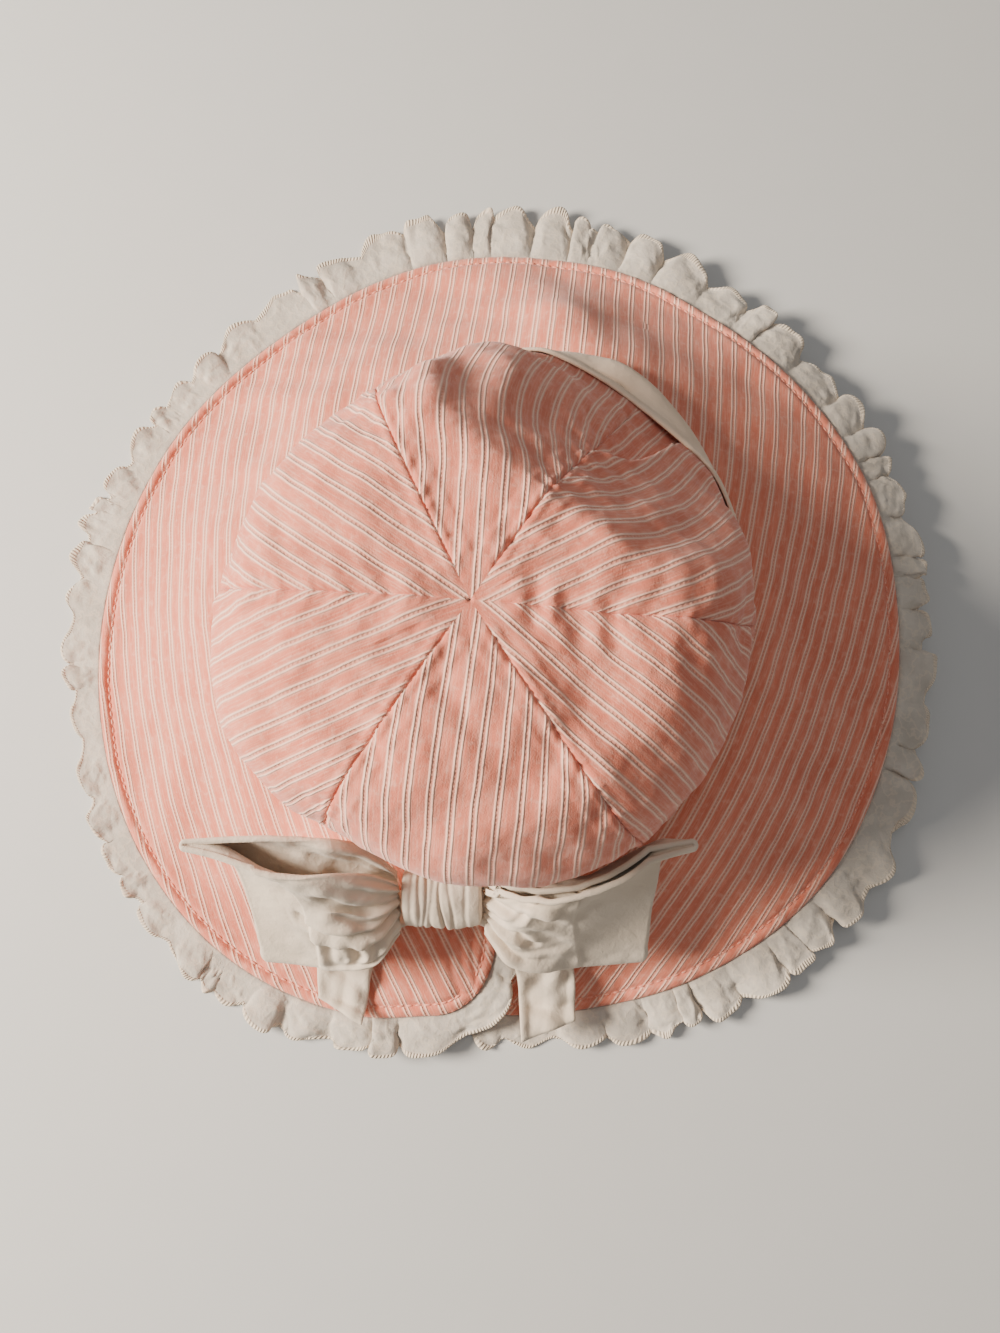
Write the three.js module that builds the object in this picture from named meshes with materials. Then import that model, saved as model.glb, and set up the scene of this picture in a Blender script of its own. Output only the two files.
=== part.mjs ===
// A baby's sun bonnet, lying on its brim with the bow at the back.
// Six crown panels, a hat band, a split brim with rounded flaps, a gathered ruffle and a tied bow.
// Millimetres, +Z up, the front of the hat towards +Y and the bow towards -Y.
import * as THREE from "three";

// Sizes of the crown
const HEAD_WIDTH = 144; // across the base seam, side to side
const HEAD_LENGTH = 154; // across the base seam, front to back
const SEAM_HEIGHT = 29; // mean height of the base seam above the surface the hat lies on
const CROWN_RISE = 71; // base seam to the point where the panels meet
const CROWN_SWELL = 8; // how far the soft side bulges out
const CROWN_LEAN = [-8, -17]; // how far the point has slumped to the left and towards the bow
const PANEL_PUFF = 2.2; // fullness of a panel between its two seams
const CROWN_DENT = 6; // depth of a full dent
const CROWN_WALL = 1.2;
const POINT_RADIUS = 1.4; // where the six tips meet
// The pushed-in shoulder: a plane that faces this way
const CROWN_PRESS = { at: 53, up: 45, from: 83, soft: 2.5 };

// Sizes of the band, brim and ruffle
const BAND_HEIGHT = 15;
const BAND_WALL = 1.2;
const BRIM_REACH = 71; // the widest stretch, at the left and back
const BRIM_WALL = 2;
const BRIM_FOLD = 6; // height of the tallest ridge across the brim
const HEM_LIFT = 16; // the highest stretch of hem above the surface
const FLAP_RIGHT_END = -97; // degrees, the end of the flap that lies below
const FLAP_LEFT_END = 269; // degrees, the end of the flap that lies on top
const FLAP_LIFT = 5; // how far the upper flap's corner rides over the lower one
const CORNER_ALONG = 20; // the rounded corner, measured along the hem
const CORNER_DEEP = 26; // the rounded corner, measured towards the crown
const RUFFLE_WIDTH = 18; // where it lies flattest, at the front
const RUFFLE_WAVE = 3; // height of a gather at the outer edge
const RUFFLE_FALL = 0.5; // share of the hem's height that the ruffle droops by
const RUFFLE_WALL = 1.4;
const PLEATS = 70;

// Sizes of the bow
const BOW_AT = 259; // degrees, where the knot sits on the band
const KNOT_LENGTH = 24;
const KNOT_TALL = 20;
const KNOT_THICK = 11;
const KNOT_LEAN = 55; // degrees from upright
const KNOT_PAD = 0.9; // it is squeezed this much less than its full size where it meets the band
const KNOT_CREASE = 0.45;
const KNOT_CREASES = 5;
const LOOP_LENGTH = 70; // knot's middle to the far fold
const RIBBON_WIDTH = 56;
const RIBBON_WALL = 1.2;
const RIBBON_GATHER = 2.4; // height of the folds beside the knot
const TAIL_WIDTH = 18;
const TAIL_WALL = 1.2;

// Room left between pieces that are sewn or laid together
const CLEAR = 0.45;
const LAID_CLEAR = 0.8;
const SEAM_GAP = 0.5;
const LAYER_GAP = 1.6; // between the two layers of a flattened loop

// Seams of the crown, in degrees round from the right-hand side
const SEAMS = [-5, 55, 115, 176, 235, 303];

// Round the crown: seam height in shares of SEAM_HEIGHT, the ring's push outwards in shares of CROWN_SWELL,
// and how full the side is in shares of CROWN_SWELL
const CROWN_ROWS = [
  { at: 0, seam: 1.1, push: 0.25, full: 0.25 },
  { at: 22, seam: 1.13, push: 0.4, full: -0.2 },
  { at: 42, seam: 1.2, push: 0.8, full: -0.5 },
  { at: 64, seam: 1.27, push: 1.1, full: 0.9 },
  { at: 82, seam: 1.14, push: 0.35, full: 0.4 },
  { at: 100, seam: 1.05, push: 0.1, full: -0.1 },
  { at: 125, seam: 0.98, push: 0, full: -0.2 },
  { at: 155, seam: 0.93, push: 0, full: 0.22 },
  { at: 185, seam: 0.92, push: 0, full: 0.7 },
  { at: 210, seam: 0.92, push: 0, full: 0.95 },
  { at: 240, seam: 0.94, push: 0, full: -0.05 },
  { at: 270, seam: 0.95, push: 0, full: -0.1 },
  { at: 300, seam: 0.98, push: 0, full: 0.65 },
  { at: 330, seam: 1.04, push: 0.1, full: 0.25 },
];

// Dents in the crown: where, how wide in degrees, how far up and how tall as shares of the wall,
// and how deep as a share of CROWN_DENT
const DENTS = [
  { at: 50, wide: 13, up: 0.2, tall: 0.16, deep: 0.7 },
  { at: 30, wide: 9, up: 0.3, tall: 0.2, deep: -0.3 },
  { at: -22, wide: 26, up: 0.82, tall: 0.09, deep: 0.6 },
  { at: 100, wide: 12, up: 0.4, tall: 0.22, deep: -0.2 },
  { at: 205, wide: 24, up: 0.62, tall: 0.16, deep: 0.25 },
  { at: 282, wide: 22, up: 0.5, tall: 0.13, deep: 0.45 },
  { at: 262, wide: 30, up: 0.28, tall: 0.14, deep: -0.3 },
];

// The brim round the crown: reach as a share of BRIM_REACH, hem height as a share of HEM_LIFT,
// and how much of RUFFLE_WIDTH shows beyond the hem
const BRIM_ROWS = [
  { at: 0, reach: 0.815, lift: 1, frill: 0.65 },
  { at: 20, reach: 0.812, lift: 1, frill: 0.68 },
  { at: 40, reach: 0.75, lift: 0.85, frill: 0.78 },
  { at: 60, reach: 0.72, lift: 0.55, frill: 0.88 },
  { at: 80, reach: 0.825, lift: 0.34, frill: 1 },
  { at: 100, reach: 0.885, lift: 0.1, frill: 0.95 },
  { at: 125, reach: 0.85, lift: 0.01, frill: 0.75 },
  { at: 150, reach: 0.89, lift: 0, frill: 0.64 },
  { at: 170, reach: 0.922, lift: 0, frill: 0.8 },
  { at: 190, reach: 0.957, lift: 0, frill: 0.55 },
  { at: 212, reach: 0.983, lift: 0, frill: 0.56 },
  { at: 232, reach: 0.955, lift: 0, frill: 0.62 },
  { at: 250, reach: 0.859, lift: 0, frill: 0.6 },
  { at: 262, reach: 0.75, lift: 0.02, frill: 0.55 },
  { at: 280, reach: 0.75, lift: 0.03, frill: 0.55 },
  { at: 298, reach: 0.81, lift: 0.22, frill: 0.72 },
  { at: 320, reach: 0.865, lift: 0.62, frill: 0.8 },
  { at: 340, reach: 0.842, lift: 0.9, frill: 0.68 },
];

// Ridges and hollows across the brim: where at the crown, how far they lean by the hem, width, rise
const BRIM_FOLDS = [
  { at: 71, lean: 18, wide: 8, rise: 1 },
  { at: 98, lean: 6, wide: 9, rise: -0.35 },
  { at: 128, lean: 4, wide: 12, rise: 0.3 },
  { at: 190, lean: -6, wide: 16, rise: 0.25 },
  { at: 222, lean: 3, wide: 9, rise: -0.3 },
  { at: 312, lean: 6, wide: 13, rise: 0.45 },
  { at: 345, lean: 2, wide: 14, rise: -0.35 },
  { at: 20, lean: 5, wide: 14, rise: 0.3 },
];

// One layer of a bow loop from the knot to the far fold. "along" is a share of LOOP_LENGTH.
// The others are shares of RIBBON_WIDTH, out from the crown and up, from the middle of the knot.
const LOOP_ROWS = [
  { along: 0.18, topOut: -0.08, topUp: 0.1, midOut: 0.02, midUp: 0.01, lowOut: 0.18, lowUp: -0.09 },
  { along: 0.3, topOut: -0.13, topUp: 0.26, midOut: 0.12, midUp: 0.1, lowOut: 0.36, lowUp: -0.12 },
  { along: 0.6, topOut: -0.13, topUp: 0.42, midOut: 0.04, midUp: 0.17, lowOut: 0.37, lowUp: -0.22 },
  { along: 1, topOut: -0.24, topUp: 0.43, midOut: -0.16, midUp: 0.15, lowOut: 0.35, lowUp: -0.26 },
];
const LOOP_LOW_REACH = 0.82; // how far the low edge reaches, as a share of the top edge

const LOOPS = [
  { name: "bow_loop_left", side: -1, open: 9, turn: 0.4 },
  { name: "bow_loop_right", side: 1, open: 3, turn: 2.1 },
];

// Middle line of each tail from under the knot, behind the loop and down to its tip: across as a share of LOOP_LENGTH,
// out as a share of RIBBON_WIDTH, and the share of TAIL_WIDTH that shows there
const TAILS = [
  {
    name: "bow_tail_left",
    rows: [
      { across: -0.1, out: 0.04, width: 0.5 },
      { across: -0.33, out: 0.12, width: 0.8 },
      { across: -0.45, out: 0.34, width: 1 },
      { across: -0.48, out: 0.64, width: 0.85 },
    ],
  },
  {
    name: "bow_tail_right",
    rows: [
      { across: 0.1, out: 0.04, width: 0.5 },
      { across: 0.31, out: 0.12, width: 0.8 },
      { across: 0.44, out: 0.38, width: 1 },
      { across: 0.46, out: 0.74, width: 0.95 },
    ],
  },
];

const PINK = { color: 0xe39a87, roughness: 0.92, metalness: 0 };
const WHITE = { color: 0xf1efe9, roughness: 0.88, metalness: 0 };

const radians = THREE.MathUtils.degToRad;
const mix = THREE.MathUtils.lerp;
const clamp = THREE.MathUtils.clamp;

// A smooth step from 0 to 1 as x goes from one value to another, either way.
function ramp(x, from, to) {
  const s = clamp((x - from) / (to - from), 0, 1);
  return s * s * (3 - 2 * s);
}

// Turns degrees into the range -180 to 180.
const wrapped = (degrees) => ((((degrees + 180) % 360) + 360) % 360) - 180;

// A smooth curve through rows, read at x. With a period, the rows run round a circle.
function curveThrough(rows, key, column, period) {
  const at = (i) => {
    const n = rows.length;
    const k = period ? ((i % n) + n) % n : clamp(i, 0, n - 1);
    return { x: rows[k][key] + (period ? period * Math.floor(i / n) : 0), y: rows[k][column] };
  };
  return (x) => {
    const first = rows[0][key];
    const last = rows.at(-1)[key];
    const u = period ? first + ((((x - first) % period) + period) % period) : clamp(x, first, last);
    let i = 0;
    while (i < rows.length - (period ? 1 : 2) && at(i + 1).x <= u) i++;
    const [a, b, c, d] = [at(i - 1), at(i), at(i + 1), at(i + 2)];
    const slopeB = (c.y - a.y) / (c.x - a.x);
    const slopeC = (d.y - b.y) / (d.x - b.x);
    const h = c.x - b.x;
    const s = (u - b.x) / h;
    return (
      b.y * (2 * s ** 3 - 3 * s ** 2 + 1) +
      slopeB * h * (s ** 3 - 2 * s ** 2 + s) +
      c.y * (3 * s ** 2 - 2 * s ** 3) +
      slopeC * h * (s ** 3 - s ** 2)
    );
  };
}

const reachShare = curveThrough(BRIM_ROWS, "at", "reach", 360);
const liftShare = curveThrough(BRIM_ROWS, "at", "lift", 360);
const frillShare = curveThrough(BRIM_ROWS, "at", "frill", 360);
const seamShare = curveThrough(CROWN_ROWS, "at", "seam", 360);
const pushShare = curveThrough(CROWN_ROWS, "at", "push", 360);
const fullShare = curveThrough(CROWN_ROWS, "at", "full", 360);

// Crown

const seamHeight = (az) => SEAM_HEIGHT * seamShare(az);

function baseRadius(az) {
  const a = HEAD_WIDTH / 2;
  const b = HEAD_LENGTH / 2;
  const ring = (a * b) / Math.hypot(b * Math.cos(radians(az)), a * Math.sin(radians(az)));
  return ring + CROWN_SWELL * pushShare(az);
}

// Where the middle of the crown has slumped to, from 0 at the base seam to 1 at the point.
function crownAxis(up) {
  const slump = 1 - (1 - up) ** 3;
  return new THREE.Vector2(CROWN_LEAN[0] * slump, CROWN_LEAN[1] * slump);
}

// How far across its panel an azimuth lies, from 0 to 1.
function acrossPanel(az) {
  const n = SEAMS.length;
  for (let k = 0; k < n; k++) {
    const span = k + 1 < n ? SEAMS[k + 1] - SEAMS[k] : SEAMS[0] + 360 - SEAMS[k];
    const from = (((az - SEAMS[k]) % 360) + 360) % 360;
    if (from < span) return from / span;
  }
  return 0;
}

// How far up the wall, from 0 to 1, a height above the base seam lies.
const UP_POWER = 0.75;
const OUT_POWER = 0.55;
const upAt = (height) =>
  Math.asin(clamp(height / CROWN_RISE, 0, 1) ** (1 / UP_POWER)) / (Math.PI / 2);

const pressNormal = new THREE.Vector3(
  Math.cos(radians(CROWN_PRESS.up)) * Math.cos(radians(CROWN_PRESS.at)),
  Math.cos(radians(CROWN_PRESS.up)) * Math.sin(radians(CROWN_PRESS.at)),
  Math.sin(radians(CROWN_PRESS.up)),
);

// The crown's middle surface: az in degrees round its leaning middle,
// and up from 0 at the base seam to 1 at the point.
function crownPoint(az, up) {
  const rise = up * (Math.PI / 2);
  const narrow = Math.max(Math.cos(rise), 0) ** OUT_POWER;
  const swell = CROWN_SWELL * fullShare(az) * Math.sin(Math.PI * up ** 0.8);
  const across = acrossPanel(az);
  const puff = PANEL_PUFF * (4 * across * (1 - across)) ** 0.9 * Math.sin(Math.PI * up ** 0.7);
  let dent = 0;
  for (const d of DENTS) {
    const sideways = wrapped(az - d.at) / d.wide;
    const upwards = (up - d.up) / d.tall;
    dent += CROWN_DENT * d.deep * Math.exp(-(sideways ** 2) - upwards ** 2);
  }
  // A dent pushes inwards low down and downwards near the top, and leaves the band's stretch where it is.
  dent *= ramp(up, 0.08, 0.22);
  const r = (baseRadius(az) + swell) * narrow + puff * narrow ** 0.5 - dent * Math.cos(rise);
  const axis = crownAxis(up);
  const z = seamHeight(az) + CROWN_RISE * Math.sin(rise) ** UP_POWER + puff * 0.5 * (1 - narrow);
  const p = new THREE.Vector3(
    axis.x + r * Math.cos(radians(az)),
    axis.y + r * Math.sin(radians(az)),
    mix(z, SEAM_HEIGHT + CROWN_RISE, up ** 2) - dent * Math.sin(rise),
  );
  const past = p.dot(pressNormal) - CROWN_PRESS.from;
  const cut = (past + Math.hypot(past, CROWN_PRESS.soft)) / 2;
  return p.addScaledVector(pressNormal, -cut * ramp(up, 0, 0.05));
}

// The surface's outward direction, by small steps along it.
function crownNormal(az, up) {
  const step = 0.004;
  const low = clamp(up - step, 0, 1 - 2 * step);
  const east = crownPoint(az + 0.4, up).sub(crownPoint(az - 0.4, up));
  const north = crownPoint(az, low + 2 * step).sub(crownPoint(az, low));
  return east.cross(north).normalize();
}

const crownShell = (az, up, offset) => crownPoint(az, up).addScaledVector(crownNormal(az, up), offset);

// A closed solid from two skins. skin(i, j, side) gives a point for side +1 outside and -1 inside.
// The columns run from 0 to columns, the rows from 0 to rows, and outside faces look along column x row.
function shell(columns, rows, skin, ring = false) {
  const across = ring ? columns : columns + 1;
  const position = [];
  for (const side of [1, -1])
    for (let i = 0; i < across; i++)
      for (let j = 0; j <= rows; j++) position.push(...skin(i, j, side).toArray());
  const layer = across * (rows + 1);
  const at = (i, j, inner) => (i % across) * (rows + 1) + j + (inner ? layer : 0);
  const index = [];
  const quad = (a, b, c, d) => index.push(a, b, c, a, c, d);
  for (let i = 0; i < columns; i++)
    for (let j = 0; j < rows; j++) {
      quad(at(i, j), at(i + 1, j), at(i + 1, j + 1), at(i, j + 1));
      quad(at(i, j, 1), at(i, j + 1, 1), at(i + 1, j + 1, 1), at(i + 1, j, 1));
    }
  for (let i = 0; i < columns; i++) {
    quad(at(i, 0, 1), at(i + 1, 0, 1), at(i + 1, 0), at(i, 0));
    quad(at(i, rows), at(i + 1, rows), at(i + 1, rows, 1), at(i, rows, 1));
  }
  for (let j = 0; j < rows && !ring; j++) {
    quad(at(0, j), at(0, j + 1), at(0, j + 1, 1), at(0, j, 1));
    quad(at(columns, j, 1), at(columns, j + 1, 1), at(columns, j + 1), at(columns, j));
  }
  const geometry = new THREE.BufferGeometry();
  geometry.setAttribute("position", new THREE.Float32BufferAttribute(position, 3));
  geometry.setIndex(index);
  return geometry;
}

const hat = new THREE.Group();

function add(name, geometry, finish) {
  geometry.computeVertexNormals();
  const mesh = new THREE.Mesh(geometry, new THREE.MeshStandardMaterial(finish));
  mesh.name = name;
  hat.add(mesh);
}

const PANEL_COLUMNS = 8;
// Rows of a panel, as shares of the wall's height
const PANEL_UPS = [0, 0.09, 0.18, 0.29, 0.41, 0.54, 0.67, 0.79, 0.9, 1];

function addCrownPanels() {
  SEAMS.forEach((from, k) => {
    const to = k + 1 < SEAMS.length ? SEAMS[k + 1] : SEAMS[0] + 360;
    const topUp = 1 - (2 / Math.PI) * Math.asin((POINT_RADIUS / baseRadius(0)) ** (1 / OUT_POWER));
    const skin = (i, j, side) => {
      const up = topUp * PANEL_UPS[j];
      const axis = crownAxis(up);
      const r = Math.hypot(crownPoint(from, up).x - axis.x, crownPoint(from, up).y - axis.y);
      const margin = THREE.MathUtils.radToDeg(Math.asin(clamp(SEAM_GAP / 2 / r, 0, 0.5)));
      const az = mix(from + margin, to - margin, i / PANEL_COLUMNS);
      return crownShell(az, up, (side * CROWN_WALL) / 2);
    };
    add(`crown_panel_${k + 1}`, shell(PANEL_COLUMNS, PANEL_UPS.length - 1, skin), PINK);
  });
}

// Hat band, wrapped over the foot of the crown

const bandOffset = CROWN_WALL / 2 + CLEAR + BAND_WALL / 2;

function addBand() {
  const foot = upAt(CLEAR);
  const top = upAt(BAND_HEIGHT);
  const columns = SEAMS.length * PANEL_COLUMNS;
  const skin = (i, j, side) => {
    const panel = Math.floor(i / PANEL_COLUMNS);
    const to = panel + 1 < SEAMS.length ? SEAMS[panel + 1] : SEAMS[0] + 360;
    const az = mix(SEAMS[panel], to, (i % PANEL_COLUMNS) / PANEL_COLUMNS);
    return crownShell(az, mix(foot, top, j), bandOffset + (side * BAND_WALL) / 2);
  };
  add("hat_band", shell(columns, 1, skin, true), WHITE);
}

// Brim

const brimReach = (az) => BRIM_REACH * reachShare(az);
const hemHeight = (az) => HEM_LIFT * liftShare(az);

// Height of the brim's middle surface where it lies without any overlap. t is 0 at the crown and 1 at
// the hem, and past the hem the surface goes on as the droop of the ruffle.
function lay(az, t) {
  const inside = clamp(t, 0, 1);
  const top = seamHeight(az) - CLEAR - BRIM_WALL / 2;
  const fall = mix(inside, ramp(inside, 0, 1), 0.7);
  let z = mix(top, hemHeight(az), fall);
  for (const f of BRIM_FOLDS) {
    const sideways = wrapped(az - f.at - f.lean * inside) / f.wide;
    z += BRIM_FOLD * f.rise * Math.exp(-(sideways ** 2)) * Math.sin(Math.PI * inside ** 0.9) ** 1.2;
  }
  const past = (clamp(t - 1, 0, 2) * brimReach(az)) / RUFFLE_WIDTH;
  return z * (1 - RUFFLE_FALL * clamp(past, 0, 1));
}

const planPoint = (az, t) => {
  const r = baseRadius(az) + brimReach(az) * t;
  return new THREE.Vector2(r * Math.cos(radians(az)), r * Math.sin(radians(az)));
};

function azAndT(x, y) {
  const az = THREE.MathUtils.radToDeg(Math.atan2(y, x));
  return { az, t: (Math.hypot(x, y) - baseRadius(az)) / brimReach(az) };
}

// The upper flap climbs over the lower one near the split, and the lower flap dips under it.
const flapDip = BRIM_WALL + 2 * CLEAR;
const upperLift = (az, t) =>
  FLAP_LIFT * clamp(t, 0, 1.2) * ramp(az, FLAP_LEFT_END - 34, FLAP_LEFT_END - 9);
const lowerDip = (az, t) =>
  flapDip * (1 - clamp(t, 0, 1)) * ramp(az, FLAP_RIGHT_END + 26, FLAP_RIGHT_END + 8);

// The split's own height at an azimuth that runs from FLAP_RIGHT_END to FLAP_LEFT_END.
const splitShift = (az, t) => (az > 90 ? upperLift(az, t) : -lowerDip(az, t));

// One end's rounded corner: a quarter turn from the end line (0) to the hem (1).
function cornerStation(share, end, inward) {
  const turn = (share * Math.PI) / 2;
  const r = baseRadius(end) + brimReach(end);
  const az = end + inward * THREE.MathUtils.radToDeg((CORNER_ALONG * (1 - Math.cos(turn))) / r);
  return { az, t: 1 - (CORNER_DEEP / brimReach(az)) * (1 - Math.sin(turn)) };
}

const HEM_COLUMNS = 78;
const CORNER_COLUMNS = 5;
const BRIM_STEPS = [0, 0.07, 0.3, 0.55, 0.8, 1]; // from the hem in to the crown

function brimStations(cornerSteps, hemSteps) {
  const stations = [];
  for (let i = 0; i < cornerSteps; i++) {
    stations.push(cornerStation(i / cornerSteps, FLAP_RIGHT_END, 1));
  }
  const from = cornerStation(1, FLAP_RIGHT_END, 1).az;
  const to = cornerStation(1, FLAP_LEFT_END, -1).az;
  for (let i = 0; i <= hemSteps; i++) {
    stations.push({ az: mix(from, to, i / hemSteps), t: 1 });
  }
  for (let i = cornerSteps - 1; i >= 0; i--) {
    stations.push(cornerStation(i / cornerSteps, FLAP_LEFT_END, -1));
  }
  return stations;
}

// A skin of a sheet that lies flat: it keeps its thickness upwards and never goes under the surface.
function laidSkin(x, y, z, wall, side) {
  const under = Math.max(z - wall / 2, 0);
  return new THREE.Vector3(x, y, side > 0 ? under + wall : under);
}

function addBrim() {
  const stations = brimStations(CORNER_COLUMNS, HEM_COLUMNS);
  const inner = -CROWN_WALL / 2 / BRIM_REACH;
  const skin = (i, j, side) => {
    const { az, t: end } = stations[i];
    const t = mix(end, inner, BRIM_STEPS[j]);
    const p = planPoint(az, t);
    return laidSkin(p.x, p.y, lay(az, t) + splitShift(az, t), BRIM_WALL, side);
  };
  add("brim", shell(stations.length - 1, BRIM_STEPS.length - 1, skin), PINK);
}

// Ruffle

const PLEAT_COLUMNS = 4;
const RUFFLE_ROWS = 2;

// The hem line in plan, with its running length, from the lower flap's corner round to the end
// of the upper flap.
function hemLine() {
  const line = brimStations(10, 240).slice(3);
  const endT = cornerStation(0, FLAP_LEFT_END, -1).t;
  for (let t = endT; t > 0.42; t -= 0.04) {
    line.push({ az: FLAP_LEFT_END, t });
  }
  let length = 0;
  line.forEach((s, i) => {
    s.plan = planPoint(s.az, s.t);
    if (i) length += s.plan.distanceTo(line[i - 1].plan);
    s.length = length;
  });
  return line;
}

// A place on the hem line at a share of its length, with the direction away from the brim.
function hemAt(line, share) {
  const want = share * line.at(-1).length;
  let i = 0;
  while (i < line.length - 2 && line[i + 1].length < want) i++;
  const [a, b] = [line[i], line[i + 1]];
  const s = clamp((want - a.length) / (b.length - a.length), 0, 1);
  const before = line[Math.max(i - 1, 0)].plan;
  const after = line[Math.min(i + 2, line.length - 1)].plan;
  const tangent = after.clone().sub(before).normalize();
  return {
    az: mix(a.az, b.az, s),
    t: mix(a.t, b.t, s),
    plan: a.plan.clone().lerp(b.plan, s),
    out: new THREE.Vector2(tangent.y, -tangent.x),
  };
}

// Gathers are uneven: each column's place along the hem wanders a little from even spacing.
function pleatShare(pleat) {
  const slow = 0.42 * Math.sin((2 * Math.PI * pleat) / 13.7);
  const wander = slow + 0.22 * Math.sin((2 * Math.PI * pleat) / 4.3 + 1);
  const still = 0.22 * Math.sin(1);
  const fade = Math.min(1, pleat / 3, (PLEATS - pleat) / 3);
  return (pleat + (wander - still) * fade) / PLEATS;
}

function addRuffle() {
  const line = hemLine();
  const columns = PLEATS * PLEAT_COLUMNS;
  const skin = (i, j, side) => {
    const pleat = i / PLEAT_COLUMNS;
    const share = pleatShare(pleat);
    const hem = hemAt(line, share);
    const v = 1 - j / RUFFLE_ROWS;
    const turn = 2 * Math.PI * pleat;
    const wave = Math.sin(turn) + 0.35 * Math.sin(2 * turn + 0.8) + 0.25 * Math.sin(pleat * 2.4);
    const nearSplit = Math.min(ramp(share, 0.02, 0.07), ramp(share, 0.985, 0.9));
    const calm = mix(0.3, 1, nearSplit);
    const uneven = 1 + 0.09 * Math.sin(turn + 1) + 0.08 * Math.sin(pleat * 1.7);
    const width = RUFFLE_WIDTH * frillShare(hem.az) * uneven;
    const narrow = mix(0.55, 1, Math.min(ramp(share, 0, 0.02), ramp(share, 1, 0.985)));
    const reach = CLEAR + v * width * narrow;
    const p = hem.plan.clone().addScaledVector(hem.out, reach);
    const { az, t } = azAndT(p.x, p.y);
    const z = lay(az, t) + splitShift(hem.az, hem.t) + RUFFLE_WAVE * wave * calm * v ** 0.8;
    return laidSkin(p.x, p.y, z, RUFFLE_WALL, side);
  };
  add("brim_ruffle", shell(columns, RUFFLE_ROWS, skin), WHITE);
}

// Bow

// Top of the brim, or of the ruffle past it, with the upper flap counted on both sides of the split.
function support(x, y) {
  const { az, t } = azAndT(x, y);
  const round = (az + 360) % 360;
  const near = Math.min(ramp(round, FLAP_LEFT_END - 34, FLAP_LEFT_END - 9), ramp(round, 296, 281));
  const lift = FLAP_LIFT * clamp(t, 0, 1.2) * near;
  const ruffle = (RUFFLE_WAVE * 1.1 + RUFFLE_WALL / 2) * ramp(t, 0.9, 1.02);
  return Math.max(lay(az, t), RUFFLE_WALL / 2) + lift + Math.max(BRIM_WALL / 2, ruffle);
}

// Moves a point clear of the crown, its band and the brim by a distance.
function clearOf(p, distance) {
  const seam = seamHeight(THREE.MathUtils.radToDeg(Math.atan2(p.y, p.x)));
  const up = upAt(p.z - seam);
  const axis = crownAxis(up);
  const from = new THREE.Vector2(p.x - axis.x, p.y - axis.y);
  const wall = crownPoint(THREE.MathUtils.radToDeg(from.angle()), up);
  const band = p.z - seam < BAND_HEIGHT + 3 ? CLEAR + BAND_WALL : 0;
  const least = Math.hypot(wall.x - axis.x, wall.y - axis.y) + CROWN_WALL / 2 + band + distance;
  if (from.length() < least) from.setLength(least);
  p.x = axis.x + from.x;
  p.y = axis.y + from.y;
  p.z = Math.max(p.z, support(p.x, p.y) + distance);
  return p;
}

function knotCentre() {
  const lean = radians(KNOT_LEAN);
  const tall = KNOT_TALL / 2 + KNOT_CREASE;
  const thick = KNOT_THICK / 2 + KNOT_CREASE;
  const deep = Math.hypot(tall * Math.sin(lean), thick * Math.cos(lean));
  const rise = Math.hypot(tall * Math.cos(lean), thick * Math.sin(lean));
  const r = baseRadius(BOW_AT) + deep;
  const x = r * Math.cos(radians(BOW_AT));
  const y = r * Math.sin(radians(BOW_AT));
  const z = support(x, y) + TAIL_WALL + 2 * LAID_CLEAR + rise;
  const centre = clearOf(new THREE.Vector3(x, y, z + rise * 0.7), deep + KNOT_PAD);
  return new THREE.Vector3(centre.x, centre.y, z);
}

const knot = knotCentre();

// A point given from the middle of the knot: across to the right, out from the crown, and up.
const fromKnot = (across, out, up) => new THREE.Vector3(knot.x + across, knot.y - out, knot.z + up);

const KNOT_SIDES = 16;
const KNOT_STEPS = 14;

function addKnot() {
  const rings = [];
  for (let i = 0; i <= KNOT_STEPS; i++) {
    const s = i / KNOT_STEPS;
    const shoulder = Math.min(1, 0.86 + 0.14 * Math.sin(Math.PI * s) * 2);
    const crease = KNOT_CREASE * Math.sin(2 * Math.PI * KNOT_CREASES * s);
    const ring = [];
    for (let k = 0; k < KNOT_SIDES; k++) {
      const turn = (2 * Math.PI * k) / KNOT_SIDES;
      const tall = (KNOT_TALL / 2) * shoulder * Math.cos(turn) + crease * Math.cos(turn);
      const thick = (KNOT_THICK / 2) * shoulder * Math.sin(turn) + crease * Math.sin(turn);
      const lean = radians(KNOT_LEAN);
      const out = -tall * Math.sin(lean) + thick * Math.cos(lean);
      const up = tall * Math.cos(lean) + thick * Math.sin(lean);
      ring.push(fromKnot((s - 0.5) * KNOT_LENGTH, out, up));
    }
    rings.push(ring);
  }
  const position = rings.flat().flatMap((p) => p.toArray());
  const index = [];
  const at = (i, k) => i * KNOT_SIDES + (k % KNOT_SIDES);
  for (let i = 0; i < KNOT_STEPS; i++)
    for (let k = 0; k < KNOT_SIDES; k++) {
      index.push(at(i, k), at(i + 1, k + 1), at(i + 1, k), at(i, k), at(i, k + 1), at(i + 1, k + 1));
    }
  for (let k = 1; k < KNOT_SIDES - 1; k++) {
    index.push(at(0, 0), at(0, k + 1), at(0, k));
    index.push(at(KNOT_STEPS, 0), at(KNOT_STEPS, k), at(KNOT_STEPS, k + 1));
  }
  const geometry = new THREE.BufferGeometry();
  geometry.setAttribute("position", new THREE.Float32BufferAttribute(position, 3));
  geometry.setIndex(index);
  add("bow_knot", geometry, WHITE);
}

// A quadratic through three points at 0, a half and 1.
const throughThree = (a, b, c, w) => a * (1 - w) * (1 - 2 * w) + b * 4 * w * (1 - w) + c * w * (2 * w - 1);

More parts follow.
